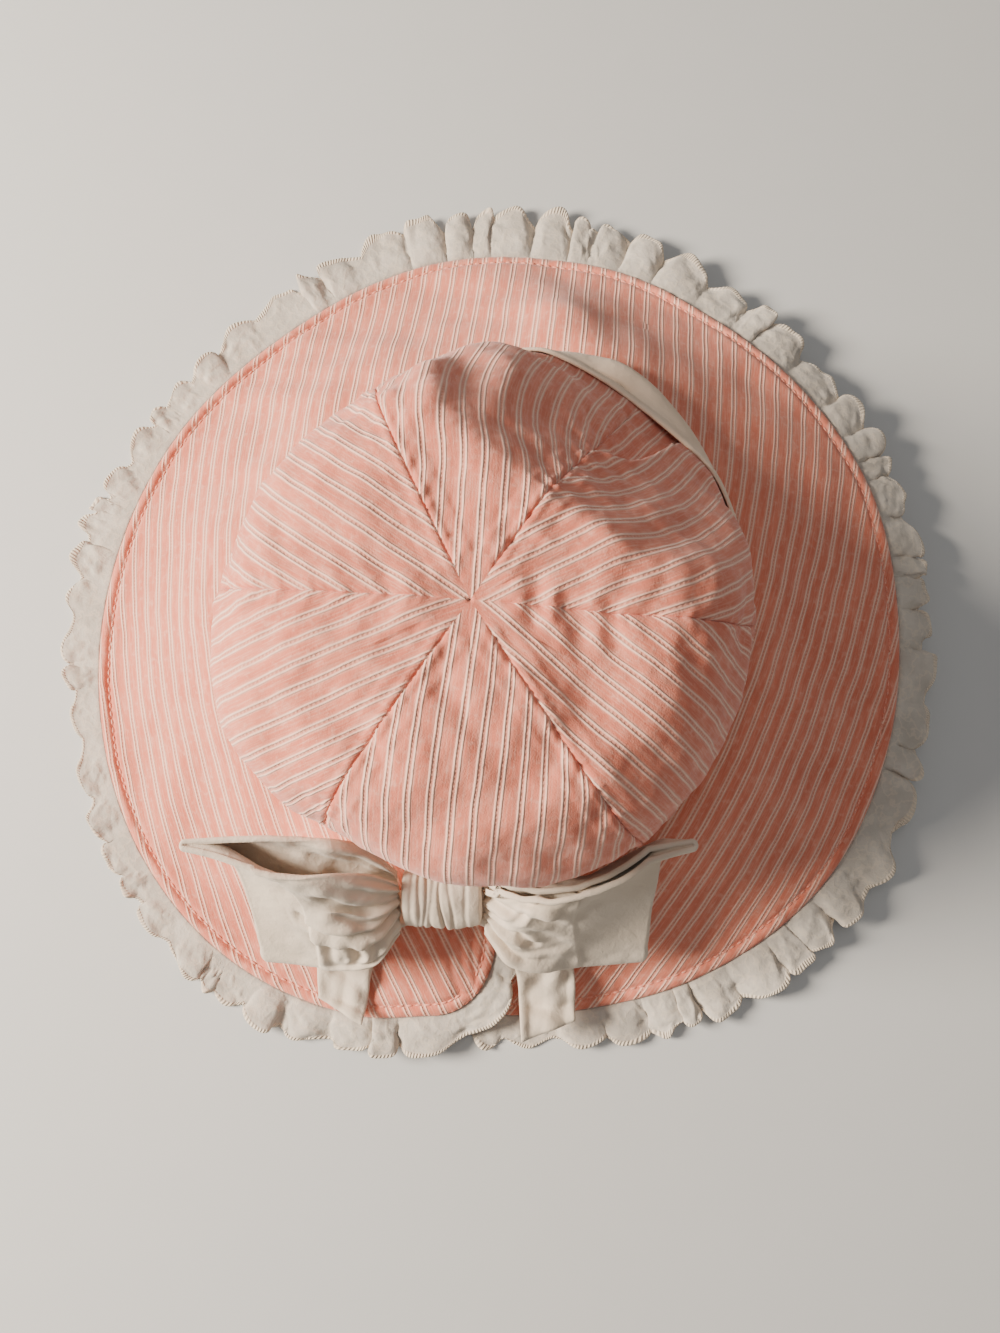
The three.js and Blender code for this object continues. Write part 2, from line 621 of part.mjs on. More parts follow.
const LOOP_COLUMNS = ["topOut", "topUp", "midOut", "midUp", "lowOut", "lowUp"];
const loopCurves = Object.fromEntries(
  LOOP_COLUMNS.map((column) => [column, curveThrough(LOOP_ROWS, "along", column)]),
);
const layerHeight = 2 * LAID_CLEAR + TAIL_WALL + RIBBON_WALL / 2; // the back layer lies over a tail

// The front layer of a loop: along from the knot to the fold, w from the top edge down.
function loopFront(loop, along, w) {
  const read = (name) => loopCurves[name](along) * RIBBON_WIDTH;
  const out = throughThree(read("topOut"), read("midOut"), read("lowOut"), w);
  const up = throughThree(read("topUp"), read("midUp"), read("lowUp"), w);
  const flare = mix(1, LOOP_LOW_REACH, ramp(w, 0, 0.8) * ramp(along, 0.3, 1));
  const start = LOOP_ROWS[0].along;
  const near = (along - start) / (1 - start);
  const folds = Math.sin(4 * Math.PI * w + loop.turn) * Math.sin(Math.PI * clamp(near / 0.55, 0, 1)) ** 2;
  const p = fromKnot(loop.side * along * LOOP_LENGTH * flare, out, up + RIBBON_GATHER * folds);
  return clearOf(p, layerHeight + RIBBON_WALL + LAYER_GAP);
}

// The back layer follows the front one, nearer to the crown and the brim.
function loopBack(loop, along, w) {
  const start = LOOP_ROWS[0].along;
  const near = clamp((along - start) / (1 - start), 0, 1);
  const gap = LAYER_GAP + RIBBON_WALL + loop.open * Math.sin(Math.PI * near ** 0.8) * (1 - 0.55 * w);
  const p = loopFront(loop, along, w).add(new THREE.Vector3(0, gap * 0.86, -gap * 0.5 * w));
  return clearOf(p, layerHeight);
}

const LAYER_COLUMNS = 9;
const FOLD_COLUMNS = 4;
const RIBBON_ROWS = 8;

function addLoop(loop) {
  const columns = 2 * LAYER_COLUMNS + FOLD_COLUMNS;
  const start = KNOT_LENGTH / 2 / LOOP_LENGTH + CLEAR / LOOP_LENGTH + 0.008;
  const middle = (i, w) => {
    if (i <= LAYER_COLUMNS) return loopFront(loop, mix(start, 1, i / LAYER_COLUMNS), w);
    const left = columns - i;
    if (left <= LAYER_COLUMNS) return loopBack(loop, mix(start, 1, left / LAYER_COLUMNS), w);
    const turn = (Math.PI * (i - LAYER_COLUMNS)) / FOLD_COLUMNS;
    const front = loopFront(loop, 1, w);
    const back = loopBack(loop, 1, w);
    const half = front.clone().sub(back).multiplyScalar(0.5);
    const p = front.clone().sub(half).addScaledVector(half, Math.cos(turn));
    p.x += loop.side * half.length() * Math.sin(turn);
    return clearOf(p, layerHeight);
  };
  const skin = (i, j, side) => {
    const w = j / RIBBON_ROWS;
    const along = middle(Math.min(i + 1, columns), w).sub(middle(Math.max(i - 1, 0), w));
    const down = middle(i, Math.min(w + 0.05, 1)).sub(middle(i, Math.max(w - 0.05, 0)));
    const normal = along.cross(down).normalize().multiplyScalar(-loop.side);
    return middle(i, w).addScaledVector(normal, (side * RIBBON_WALL) / 2);
  };
  const geometry = shell(columns, RIBBON_ROWS, (i, j, side) => skin(i, j, side * -loop.side));
  add(loop.name, geometry, WHITE);
}

const TAIL_STEPS = 12;
const TAIL_ACROSS = 4;

function addTail(tail) {
  const rows = tail.rows.map((row, i) => ({ ...row, step: i / (tail.rows.length - 1) }));
  const across = curveThrough(rows, "step", "across");
  const out = curveThrough(rows, "step", "out");
  const width = curveThrough(rows, "step", "width");
  const centre = (s) => fromKnot(across(s) * LOOP_LENGTH, out(s) * RIBBON_WIDTH, 0);
  const skin = (i, j, side) => {
    const s = i / TAIL_STEPS;
    const ahead = centre(Math.min(s + 0.05, 1)).sub(centre(Math.max(s - 0.05, 0)));
    const sideways = new THREE.Vector3(-ahead.y, ahead.x, 0).normalize();
    const p = centre(s).addScaledVector(sideways, (j / TAIL_ACROSS - 0.5) * TAIL_WIDTH * width(s));
    const under = support(p.x, p.y) + LAID_CLEAR;
    return new THREE.Vector3(p.x, p.y, side > 0 ? under + TAIL_WALL : under);
  };
  add(tail.name, shell(TAIL_STEPS, TAIL_ACROSS, skin), WHITE);
}

addCrownPanels();
addBand();
addBrim();
addRuffle();
addKnot();
LOOPS.forEach(addLoop);
TAILS.forEach(addTail);

// The origin is the middle of the whole hat's box, on the surface that it lies on.
const box = new THREE.Box3().setFromObject(hat);
hat.position.set(-(box.min.x + box.max.x) / 2, -(box.min.y + box.max.y) / 2, -box.min.z);

export default hat;
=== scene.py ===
import math

import bpy
import numpy as np
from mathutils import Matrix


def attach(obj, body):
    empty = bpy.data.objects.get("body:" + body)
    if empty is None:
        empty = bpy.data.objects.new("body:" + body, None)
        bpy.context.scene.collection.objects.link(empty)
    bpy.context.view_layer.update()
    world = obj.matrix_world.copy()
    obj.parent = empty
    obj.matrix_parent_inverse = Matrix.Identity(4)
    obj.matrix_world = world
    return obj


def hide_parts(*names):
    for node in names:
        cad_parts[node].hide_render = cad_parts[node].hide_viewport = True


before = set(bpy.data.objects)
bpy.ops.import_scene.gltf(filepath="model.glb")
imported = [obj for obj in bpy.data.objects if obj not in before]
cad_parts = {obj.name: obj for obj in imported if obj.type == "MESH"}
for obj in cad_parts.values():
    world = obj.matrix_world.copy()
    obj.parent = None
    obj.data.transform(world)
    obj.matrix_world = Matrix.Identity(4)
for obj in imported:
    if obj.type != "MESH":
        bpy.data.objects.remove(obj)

bl_info = {
    "name": "Baby sun bonnet",
    "version": (1, 0, 0),
    "blender": (4, 5, 0),
    "location": "3D View > Sidebar > Bonnet",
    "description": "Dresses the packed sun bonnet in striped and white cotton",
    "category": "Object",
}

# Sizes of the pattern in millimetres, the same as in the part's source
HEAD_WIDTH = 144
HEAD_LENGTH = 154
SEAM_HEIGHT = 29
CROWN_RISE = 71
CROWN_SWELL = 8
CROWN_LEAN = (-8, -17)
PANEL_PUFF = 2.2
CROWN_DENT = 6
CROWN_WALL = 1.2
PRESS_AT = 53
PRESS_UP = 45
PRESS_FROM = 83
PRESS_SOFT = 2.5
BAND_HEIGHT = 15
BAND_WALL = 1.2
BRIM_REACH = 71
BRIM_WALL = 2
BRIM_FOLD = 6
HEM_LIFT = 16
FLAP_RIGHT_END = -97
FLAP_LEFT_END = 269
FLAP_LIFT = 5
CORNER_ALONG = 20
CORNER_DEEP = 26
RUFFLE_WIDTH = 18
RUFFLE_WAVE = 3
RUFFLE_FALL = 0.5
RUFFLE_WALL = 1.4
PLEATS = 70
BOW_AT = 259
KNOT_LENGTH = 24
KNOT_TALL = 20
KNOT_THICK = 11
KNOT_LEAN = 55
KNOT_PAD = 0.9
KNOT_CREASE = 0.45
LOOP_LENGTH = 70
RIBBON_WIDTH = 56
RIBBON_WALL = 1.2
RIBBON_GATHER = 2.4
TAIL_WIDTH = 18
TAIL_WALL = 1.2
CLEAR = 0.45
LAID_CLEAR = 0.8
LAYER_GAP = 1.6
UP_POWER = 0.75
OUT_POWER = 0.55
SEAMS = (-5, 55, 115, 176, 235, 303)

# The cloth of the ruffle, from its seam to its edge, and the pin holes between the lines of a stripe
RUFFLE_CUT = 14
HOLE_PITCH = 1.24
# Topstitching, inwards from the hem
STITCH_INSET = 3.5

# Middle of the head opening, from the middle of the hat's box
MIDDLE = (3.6858, -9.5856, 0)

# Round the crown: degrees, seam height, push of the ring, fullness of the side
CROWN_ROWS = (
    (0, 1.1, 0.25, 0.25),
    (22, 1.13, 0.4, -0.2),
    (42, 1.2, 0.8, -0.5),
    (64, 1.27, 1.1, 0.9),
    (82, 1.14, 0.35, 0.4),
    (100, 1.05, 0.1, -0.1),
    (125, 0.98, 0, -0.2),
    (155, 0.93, 0, 0.22),
    (185, 0.92, 0, 0.7),
    (210, 0.92, 0, 0.95),
    (240, 0.94, 0, -0.05),
    (270, 0.95, 0, -0.1),
    (300, 0.98, 0, 0.65),
    (330, 1.04, 0.1, 0.25),
)

# Dents: degrees, width in degrees, place up the wall, height, depth
DENTS = (
    (50, 13, 0.2, 0.16, 0.7),
    (30, 9, 0.3, 0.2, -0.3),
    (-22, 26, 0.82, 0.09, 0.6),
    (100, 12, 0.4, 0.22, -0.2),
    (205, 24, 0.62, 0.16, 0.25),
    (282, 22, 0.5, 0.13, 0.45),
    (262, 30, 0.28, 0.14, -0.3),
)

# Round the brim: degrees, reach, lift of the hem, width of the ruffle
BRIM_ROWS = (
    (0, 0.815, 1, 0.65),
    (20, 0.812, 1, 0.68),
    (40, 0.75, 0.85, 0.78),
    (60, 0.72, 0.55, 0.88),
    (80, 0.825, 0.34, 1),
    (100, 0.885, 0.1, 0.95),
    (125, 0.85, 0.01, 0.75),
    (150, 0.89, 0, 0.64),
    (170, 0.922, 0, 0.8),
    (190, 0.957, 0, 0.55),
    (212, 0.983, 0, 0.56),
    (232, 0.955, 0, 0.62),
    (250, 0.859, 0, 0.6),
    (262, 0.75, 0.02, 0.55),
    (280, 0.75, 0.03, 0.55),
    (298, 0.81, 0.22, 0.72),
    (320, 0.865, 0.62, 0.8),
    (340, 0.842, 0.9, 0.68),
)

# Ridges across the brim: degrees at the crown, lean by the hem, width, rise
BRIM_FOLDS = (
    (71, 18, 8, 1),
    (98, 6, 9, -0.35),
    (128, 4, 12, 0.3),
    (190, -6, 16, 0.25),
    (222, 3, 9, -0.3),
    (312, 6, 13, 0.45),
    (345, 2, 14, -0.35),
    (20, 5, 14, 0.3),
)

# A layer of a loop: share along it, then out and up at its top, middle and low edge
LOOP_ROWS = (
    (0.18, -0.08, 0.1, 0.02, 0.01, 0.18, -0.09),
    (0.3, -0.13, 0.26, 0.12, 0.1, 0.36, -0.12),
    (0.6, -0.13, 0.42, 0.04, 0.17, 0.37, -0.22),
    (1, -0.24, 0.43, -0.16, 0.15, 0.35, -0.26),
)

# The tails' middle lines: share along, across, out, width
TAIL_ROWS = {
    "bow_tail_left": (
        (0, -0.1, 0.04, 0.5),
        (1 / 3, -0.33, 0.12, 0.8),
        (2 / 3, -0.45, 0.34, 1),
        (1, -0.48, 0.64, 0.85),
    ),
    "bow_tail_right": (
        (0, 0.1, 0.04, 0.5),
        (1 / 3, 0.31, 0.12, 0.8),
        (2 / 3, 0.44, 0.38, 1),
        (1, 0.46, 0.74, 0.95),
    ),
}


# Curves and waves


def mix(a, b, s):
    return a + (b - a) * s


def ramp(x, start, end):
    s = np.clip((x - start) / (end - start), 0, 1)
    return s * s * (3 - 2 * s)


def bump(x, middle, width):
    return np.exp(-(((x - middle) / width) ** 2))


def wrapped(degrees):
    return np.mod(degrees + 180, 360) - 180


def curve_through(rows, column, period=None):
    """A smooth curve through one column of rows, read at the first column's values."""
    xs = np.array([row[0] for row in rows], float)
    ys = np.array([row[column] for row in rows], float)
    n = len(xs)

    def read(x):
        x = np.asarray(x, float)
        if period:
            u = xs[0] + np.mod(x - xs[0], period)
            k = np.arange(-1, n + 2)
            ex = xs[k % n] + period * (k // n)
            ey = ys[k % n]
        else:
            u = np.clip(x, xs[0], xs[-1])
            k = np.clip(np.arange(-1, n + 1), 0, n - 1)
            ex = xs[k]
            ey = ys[k]
        i = np.searchsorted(ex[1:], u, side="right") - 1
        i = np.clip(i, 0, n - 1 if period else n - 2)
        width = ex[i + 2] - ex[i + 1]
        s = (u - ex[i + 1]) / width
        slope_b = (ey[i + 2] - ey[i]) / (ex[i + 2] - ex[i])
        slope_c = (ey[i + 3] - ey[i + 1]) / (ex[i + 3] - ex[i + 1])
        return (
            ey[i + 1] * (2 * s**3 - 3 * s**2 + 1)
            + slope_b * width * (s**3 - 2 * s**2 + s)
            + ey[i + 2] * (3 * s**2 - 2 * s**3)
            + slope_c * width * (s**3 - s**2)
        )

    return read


def waves(seed, places, size, count=14):
    """A smooth random field of features about size across, mostly from -1 to 1."""
    rng = np.random.default_rng(seed)
    total = 0
    for _ in range(count):
        way = rng.normal(size=len(places))
        way *= 2 * math.pi / size / np.linalg.norm(way) * rng.uniform(0.6, 1.4)
        turn = sum(w * p for w, p in zip(way, places))
        total = total + np.sin(turn + rng.uniform(0, 2 * math.pi))
    return total * math.sqrt(1 / count)


def spaced(count, edge):
    """Shares from 0 to 1 that lie closer together near both ends, edge times their even spacing."""
    s = np.linspace(0, 1, count + 1)
    return s - (1 - edge) * np.sin(2 * math.pi * s) / (2 * math.pi)


def stacked(*values):
    return np.stack(np.broadcast_arrays(*values), axis=-1)


def run_length(points, axis):
    """Running length along one direction of a grid of points, starting at 0."""
    steps = np.linalg.norm(np.diff(points, axis=axis), axis=-1)
    start = np.zeros_like(np.take(steps, [0], axis=axis))
    return np.concatenate([start, np.cumsum(steps, axis=axis)], axis=axis)


def normals(points):
    """Outward directions of a grid of points, along column x row."""
    n = np.cross(np.gradient(points, axis=0), np.gradient(points, axis=1))
    return n / np.maximum(np.linalg.norm(n, axis=-1, keepdims=True), 1e-9)


def rounded(distance, wall):
    """Thickness of a cloth near its edge, where it rounds off."""
    s = np.clip(distance / (wall / 2), 0.05, 1)
    return wall * np.sqrt(1 - (1 - s) ** 2)


def line_gap(x, y, points):
    """Distance to a line through points, the share along it, and the side: positive on its left."""
    best = np.full(np.shape(x), 1e9)
    share = np.zeros(np.shape(x))
    side = np.zeros(np.shape(x))
    count = len(points) - 1
    for k in range(count):
        ax, ay = points[k]
        wx = points[k + 1][0] - ax
        wy = points[k + 1][1] - ay
        s = np.clip(((x - ax) * wx + (y - ay) * wy) / (wx * wx + wy * wy), 0, 1)
        gap = np.hypot(x - ax - s * wx, y - ay - s * wy)
        nearer = gap < best
        best = np.where(nearer, gap, best)
        share = np.where(nearer, (k + s) / count, share)
        side = np.where(nearer, np.sign(wx * (y - ay) - wy * (x - ax)), side)
    return best, share, side


def creased(x, y, rows):
    """Valleys with low lips along lines, each row a line, its width and its depth."""
    total = 0
    for points, width, depth in rows:
        gap, share, _ = line_gap(x, y, points)
        taper = np.sin(math.pi * np.clip(share * 0.86 + 0.07, 0, 1)) ** 0.7
        lips = 0.45 * bump(gap, 1.9 * width, 0.9 * width)
        total = total + depth * taper * (lips - bump(gap, 0, width))
    return total


def heading(line, run, at, reach):
    """The direction of a line at a running length, read over a reach on both sides."""
    ahead_x = np.interp(at + reach, run, line[:, 0]) - np.interp(at - reach, run, line[:, 0])
    ahead_y = np.interp(at + reach, run, line[:, 1]) - np.interp(at - reach, run, line[:, 1])
    size = np.hypot(ahead_x, ahead_y)
    return ahead_x / size, ahead_y / size


seam_share = curve_through(CROWN_ROWS, 1, 360)
push_share = curve_through(CROWN_ROWS, 2, 360)
full_share = curve_through(CROWN_ROWS, 3, 360)
reach_share = curve_through(BRIM_ROWS, 1, 360)
lift_share = curve_through(BRIM_ROWS, 2, 360)
frill_share = curve_through(BRIM_ROWS, 3, 360)
LOOP_CURVES = [curve_through(LOOP_ROWS, k) for k in range(1, 7)]


# The crown's surface


def seam_height(az):
    return SEAM_HEIGHT * seam_share(az)


def base_radius(az):
    a = HEAD_WIDTH / 2
    b = HEAD_LENGTH / 2
    ring = a * b / np.hypot(b * np.cos(np.radians(az)), a * np.sin(np.radians(az)))
    return ring + CROWN_SWELL * push_share(az)


def crown_axis(up):
    slump = 1 - (1 - up) ** 3
    return CROWN_LEAN[0] * slump, CROWN_LEAN[1] * slump


def across_panel(az):
    edges = np.array(SEAMS + (SEAMS[0] + 360,)) - SEAMS[0]
    turned = np.mod(az - SEAMS[0], 360)
    k = np.clip(np.searchsorted(edges, turned, side="right") - 1, 0, len(SEAMS) - 1)
    return (turned - edges[k]) / (edges[k + 1] - edges[k])


def up_at(height):
    share = np.clip(height / CROWN_RISE, 0, 1) ** (1 / UP_POWER)
    return np.arcsin(share) / (math.pi / 2)


def crown_point(az, up):
    """The crown's middle surface, from the base seam at up = 0 to the point at up = 1."""
    rise = up * (math.pi / 2)
    narrow = np.maximum(np.cos(rise), 1e-6) ** OUT_POWER
    swell = CROWN_SWELL * full_share(az) * np.sin(math.pi * up**0.8)
    across = across_panel(az)
    puff = PANEL_PUFF * (4 * across * (1 - across)) ** 0.9 * np.sin(math.pi * up**0.7)
    dent = 0
    for at, wide, place, tall, deep in DENTS:
        sideways = wrapped(az - at) / wide
        dent = dent + CROWN_DENT * deep * np.exp(-(sideways**2) - ((up - place) / tall) ** 2)
    dent = dent * ramp(up, 0.08, 0.22)
    r = (base_radius(az) + swell) * narrow + puff * narrow**0.5 - dent * np.cos(rise)
    x, y = crown_axis(up)
    z = seam_height(az) + CROWN_RISE * np.sin(rise) ** UP_POWER + puff * 0.5 * (1 - narrow)
    z = mix(z, SEAM_HEIGHT + CROWN_RISE, up**2) - dent * np.sin(rise)
    p = stacked(x + r * np.cos(np.radians(az)), y + r * np.sin(np.radians(az)), z)
    facing = math.cos(math.radians(PRESS_UP))
    press = np.array(
        [
            facing * math.cos(math.radians(PRESS_AT)),
            facing * math.sin(math.radians(PRESS_AT)),
            math.sin(math.radians(PRESS_UP)),
        ]
    )
    past = p @ press - PRESS_FROM
    cut = (past + np.hypot(past, PRESS_SOFT)) / 2 * ramp(up, 0, 0.05)
    return p - cut[..., None] * press


def crown_normal(az, up):
    step = 0.004
    low = np.clip(up - step, 0, 1 - 2 * step)
    east = crown_point(az + 0.4, up) - crown_point(az - 0.4, up)
    north = crown_point(az, low + 2 * step) - crown_point(az, low)
    n = np.cross(east, north)
    return n / np.linalg.norm(n, axis=-1, keepdims=True)


# The brim's surface


def brim_reach(az):
    return BRIM_REACH * reach_share(az)


def lay(az, t):
    """Height of the brim's middle surface, and past the hem of the ruffle's."""
    inside = np.clip(t, 0, 1)
    top = seam_height(az) - CLEAR - BRIM_WALL / 2
    z = mix(top, HEM_LIFT * lift_share(az), mix(inside, ramp(inside, 0, 1), 0.7))
    arch = np.maximum(np.sin(math.pi * inside**0.9), 0) ** 1.2
    for at, lean, wide, rise in BRIM_FOLDS:
        sideways = wrapped(az - at - lean * inside) / wide
        z = z + BRIM_FOLD * rise * np.exp(-(sideways**2)) * arch
    past = np.clip(t - 1, 0, 2) * brim_reach(az) / RUFFLE_WIDTH
    return z * (1 - RUFFLE_FALL * np.clip(past, 0, 1))


def plan_point(az, t):
    r = base_radius(az) + brim_reach(az) * t
    return r * np.cos(np.radians(az)), r * np.sin(np.radians(az))


def az_and_t(x, y):
    az = np.degrees(np.arctan2(y, x))
    return az, (np.hypot(x, y) - base_radius(az)) / brim_reach(az)


def split_shift(az, t):
    """The upper flap rides over the lower one, which dips under it."""
    upper = FLAP_LIFT * np.clip(t, 0, 1.2) * ramp(az, FLAP_LEFT_END - 34, FLAP_LEFT_END - 9)
    dip = (BRIM_WALL + 2 * CLEAR) * (1 - np.clip(t, 0, 1))
    lower = dip * ramp(az, FLAP_RIGHT_END + 26, FLAP_RIGHT_END + 8)
    return np.where(az > 90, upper, -lower)


def corner_station(share, end, inward):
    turn = share * math.pi / 2
    r = base_radius(end) + brim_reach(end)
    az = end + inward * np.degrees(CORNER_ALONG * (1 - np.cos(turn)) / r)
    return az, 1 - CORNER_DEEP / brim_reach(az) * (1 - np.sin(turn))


def brim_stations(corner_steps, hem_steps):
    """Places along the free edge, from the lower flap's end round to the upper flap's end."""
    share = np.arange(corner_steps) / corner_steps
    first = corner_station(share, FLAP_RIGHT_END, 1)
    last = corner_station(share[::-1], FLAP_LEFT_END, -1)
    start = float(corner_station(1, FLAP_RIGHT_END, 1)[0])
    stop = float(corner_station(1, FLAP_LEFT_END, -1)[0])
    hem = np.linspace(start, stop, hem_steps + 1)
    az = np.concatenate([first[0], hem, last[0]])
    t = np.concatenate([first[1], np.ones(hem_steps + 1), last[1]])
    return az, t


# Meshes


def mesh_from(name, points, quads, uv, material):
    """A smooth mesh in metres in the row's frame, with its cloth places in millimetres as its UV."""
    mesh = bpy.data.meshes.new(name)
    mesh.vertices.add(len(points))
    placed = (points + np.array(MIDDLE)) * 0.001
    mesh.vertices.foreach_set("co", placed.astype(np.float32).ravel())
    corners = np.concatenate([q[0] for q in quads])
    places = np.concatenate([q[1] for q in quads])
    mesh.loops.add(corners.size)
    mesh.loops.foreach_set("vertex_index", corners.astype(np.int32).ravel())
    mesh.polygons.add(len(corners))
    mesh.polygons.foreach_set("loop_start", np.arange(len(corners), dtype=np.int32) * 4)
    mesh.update(calc_edges=True)
    layer = mesh.uv_layers.new(name="cloth")
    layer.data.foreach_set("uv", uv[places.ravel()].astype(np.float32).ravel())
    mesh.polygons.foreach_set("use_smooth", np.ones(len(corners), dtype=bool))
    mesh.materials.append(material)
    mesh.validate()
    piece = bpy.data.objects.new(name, mesh)
    bpy.context.scene.collection.objects.link(piece)
    return piece


def closed_sheet(name, outer, inner, uv, material, ring=False):
    """A closed cloth from its outer and inner skins, each a grid of points."""
    across, rows = outer.shape[:2]
    columns = across if ring else across - 1
    points = np.concatenate([outer.reshape(-1, 3), inner.reshape(-1, 3)])
    places = np.concatenate([uv.reshape(-1, 2), uv.reshape(-1, 2)])
    layer = across * rows
    uv_layer = uv.shape[0] * rows

    def quad(i, j, sides):
        """Corners of the quads at columns i and rows j, and their cloth places; side 1 is the inner skin."""
        i, j = np.broadcast_arrays(i, j)
        i = i.reshape(-1, i.shape[-1])
        j = j.reshape(-1, j.shape[-1])
        sides = np.array(sides)
        corner = (i % across) * rows + j + sides * layer
        return corner, i * rows + j + sides * uv_layer

    i = np.arange(columns)[:, None, None]
    j = np.arange(rows - 1)[None, :, None]
    quads = [
        quad(i + [0, 1, 1, 0], j + [0, 0, 1, 1], [0, 0, 0, 0]),
        quad(i + [0, 0, 1, 1], j + [0, 1, 1, 0], [1, 1, 1, 1]),
    ]
    i = np.arange(columns)[:, None]
    quads.append(quad(i + [0, 1, 1, 0], np.zeros(4, int), [1, 1, 0, 0]))
    quads.append(quad(i + [0, 1, 1, 0], np.full(4, rows - 1), [0, 0, 1, 1]))
    if not ring:
        j = np.arange(rows - 1)[:, None]
        quads.append(quad(np.zeros(4, int), j + [0, 1, 1, 0], [0, 0, 1, 1]))
        quads.append(quad(np.full(4, columns), j + [0, 1, 1, 0], [1, 1, 0, 0]))
    return mesh_from(name, points, quads, places, material)


def walled(name, surface, out, wall, uv, material, ring=False):
    """A closed cloth of a given thickness round a surface with known outward directions."""
    half = out * (wall / 2)[..., None]
    return closed_sheet(name, surface + half, surface - half, uv, material, ring)


def laid_cloth(name, middle, wall, uv, material):
    """A closed cloth of a given thickness round its middle surface, clear of the surface it lies on."""
    half = normals(middle) * (wall / 2)[..., None]
    outer = middle + half
    inner = middle - half
    sunk = np.minimum(np.minimum(outer[..., 2], inner[..., 2]), 0)
    outer[..., 2] -= sunk
    inner[..., 2] -= sunk
    return closed_sheet(name, outer, inner, uv, material)


def tube_quads(steps, sides):
    """The quads round a tube of points, ring after ring."""
    i = np.arange(steps)[:, None]
    k = np.arange(sides)[None, :]
    beside = (k + 1) % sides
    corners = [i * sides + k, i * sides + beside, (i + 1) * sides + beside, (i + 1) * sides + k]
    return np.stack(corners, -1).reshape(-1, 4)


def finished(piece, slot, *nodes):
    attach(piece, "root")
    if nodes:
        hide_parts(*nodes)


# Materials


class Nodes:
    """Short names for the nodes of one material."""

    def __init__(self, name):
        self.material = bpy.data.materials.new(name)
        self.material.use_nodes = True
        self.tree = self.material.node_tree
        self.shader = self.tree.nodes["Principled BSDF"]

    def link(self, value, socket):
        if isinstance(value, bpy.types.NodeSocket):
            self.tree.links.new(value, socket)
        else:
            socket.default_value = value

    def math(self, operation, a, b=0.0, c=0.0):
        node = self.tree.nodes.new("ShaderNodeMath")
        node.operation = operation
        for value, socket in zip((a, b, c), node.inputs):
            self.link(value, socket)
        return node.outputs[0]

    def step(self, value, start, end):
        node = self.tree.nodes.new("ShaderNodeMapRange")
        node.interpolation_type = "SMOOTHSTEP"
        self.link(value, node.inputs["Value"])
        low, high, reverse = (start, end, False) if start < end else (end, start, True)
        node.inputs["From Min"].default_value = low
        node.inputs["From Max"].default_value = high
        node.inputs["To Min"].default_value = 1.0 if reverse else 0.0
        node.inputs["To Max"].default_value = 0.0 if reverse else 1.0
        return node.outputs["Result"]

    def noise(self, where, scale, detail=2.0, rough=0.5):
        node = self.tree.nodes.new("ShaderNodeTexNoise")
        self.link(where, node.inputs["Vector"])
        node.inputs["Scale"].default_value = scale
        node.inputs["Detail"].default_value = detail
        node.inputs["Roughness"].default_value = rough
        return node.outputs[0]

    def blend(self, factor, a, b):
        node = self.tree.nodes.new("ShaderNodeMix")
        node.data_type = "RGBA"
        self.link(factor, node.inputs["Factor"])
        colours = [s for s in node.inputs if s.type == "RGBA"]
        self.link(a, colours[0])
        self.link(b, colours[1])
        return [s for s in node.outputs if s.type == "RGBA"][0]

    def over(self, base, colour, mask, share):
        """The base with a share of a colour laid over it where the mask is 1."""
        return self.blend(self.math("MULTIPLY", mask, share), base, colour)

    def places(self):
        node = self.tree.nodes.new("ShaderNodeUVMap")
        node.uv_map = "cloth"
        return node.outputs["UV"]

    def space(self):
        return self.tree.nodes.new("ShaderNodeTexCoord").outputs["Object"]

    def stretched(self, u, v, along_u, along_v):
        """A place for long threads: the cloth's own two directions at different scales."""
        node = self.tree.nodes.new("ShaderNodeCombineXYZ")
        self.link(self.math("MULTIPLY", u, along_u), node.inputs[0])
        self.link(self.math("MULTIPLY", v, along_v), node.inputs[1])
        return node.outputs[0]

    def parts(self, vector):
        node = self.tree.nodes.new("ShaderNodeSeparateXYZ")
        self.link(vector, node.inputs[0])
        return node.outputs[0], node.outputs[1]

    def raise_by(self, height, distance):
        node = self.tree.nodes.new("ShaderNodeBump")
        node.inputs["Strength"].default_value = 1.0
        node.inputs["Distance"].default_value = distance
        self.link(height, node.inputs["Height"])
        self.tree.links.new(node.outputs["Normal"], self.shader.inputs["Normal"])

    def matt(self, roughness, sheen, gloss):
        """The surface of a matt cloth: its roughness, the sheen of its fuzz, and its gloss."""
        self.shader.inputs["Roughness"].default_value = roughness
        self.shader.inputs["Sheen Weight"].default_value = sheen
        self.shader.inputs["Sheen Roughness"].default_value = 0.5
        self.shader.inputs["Specular IOR Level"].default_value = gloss


def coloured(colour, red=1.0, green=1.0, blue=1.0):
    """A colour for a socket, with its three parts scaled."""
    return (colour[0] * red, colour[1] * green, colour[2] * blue, 1.0)


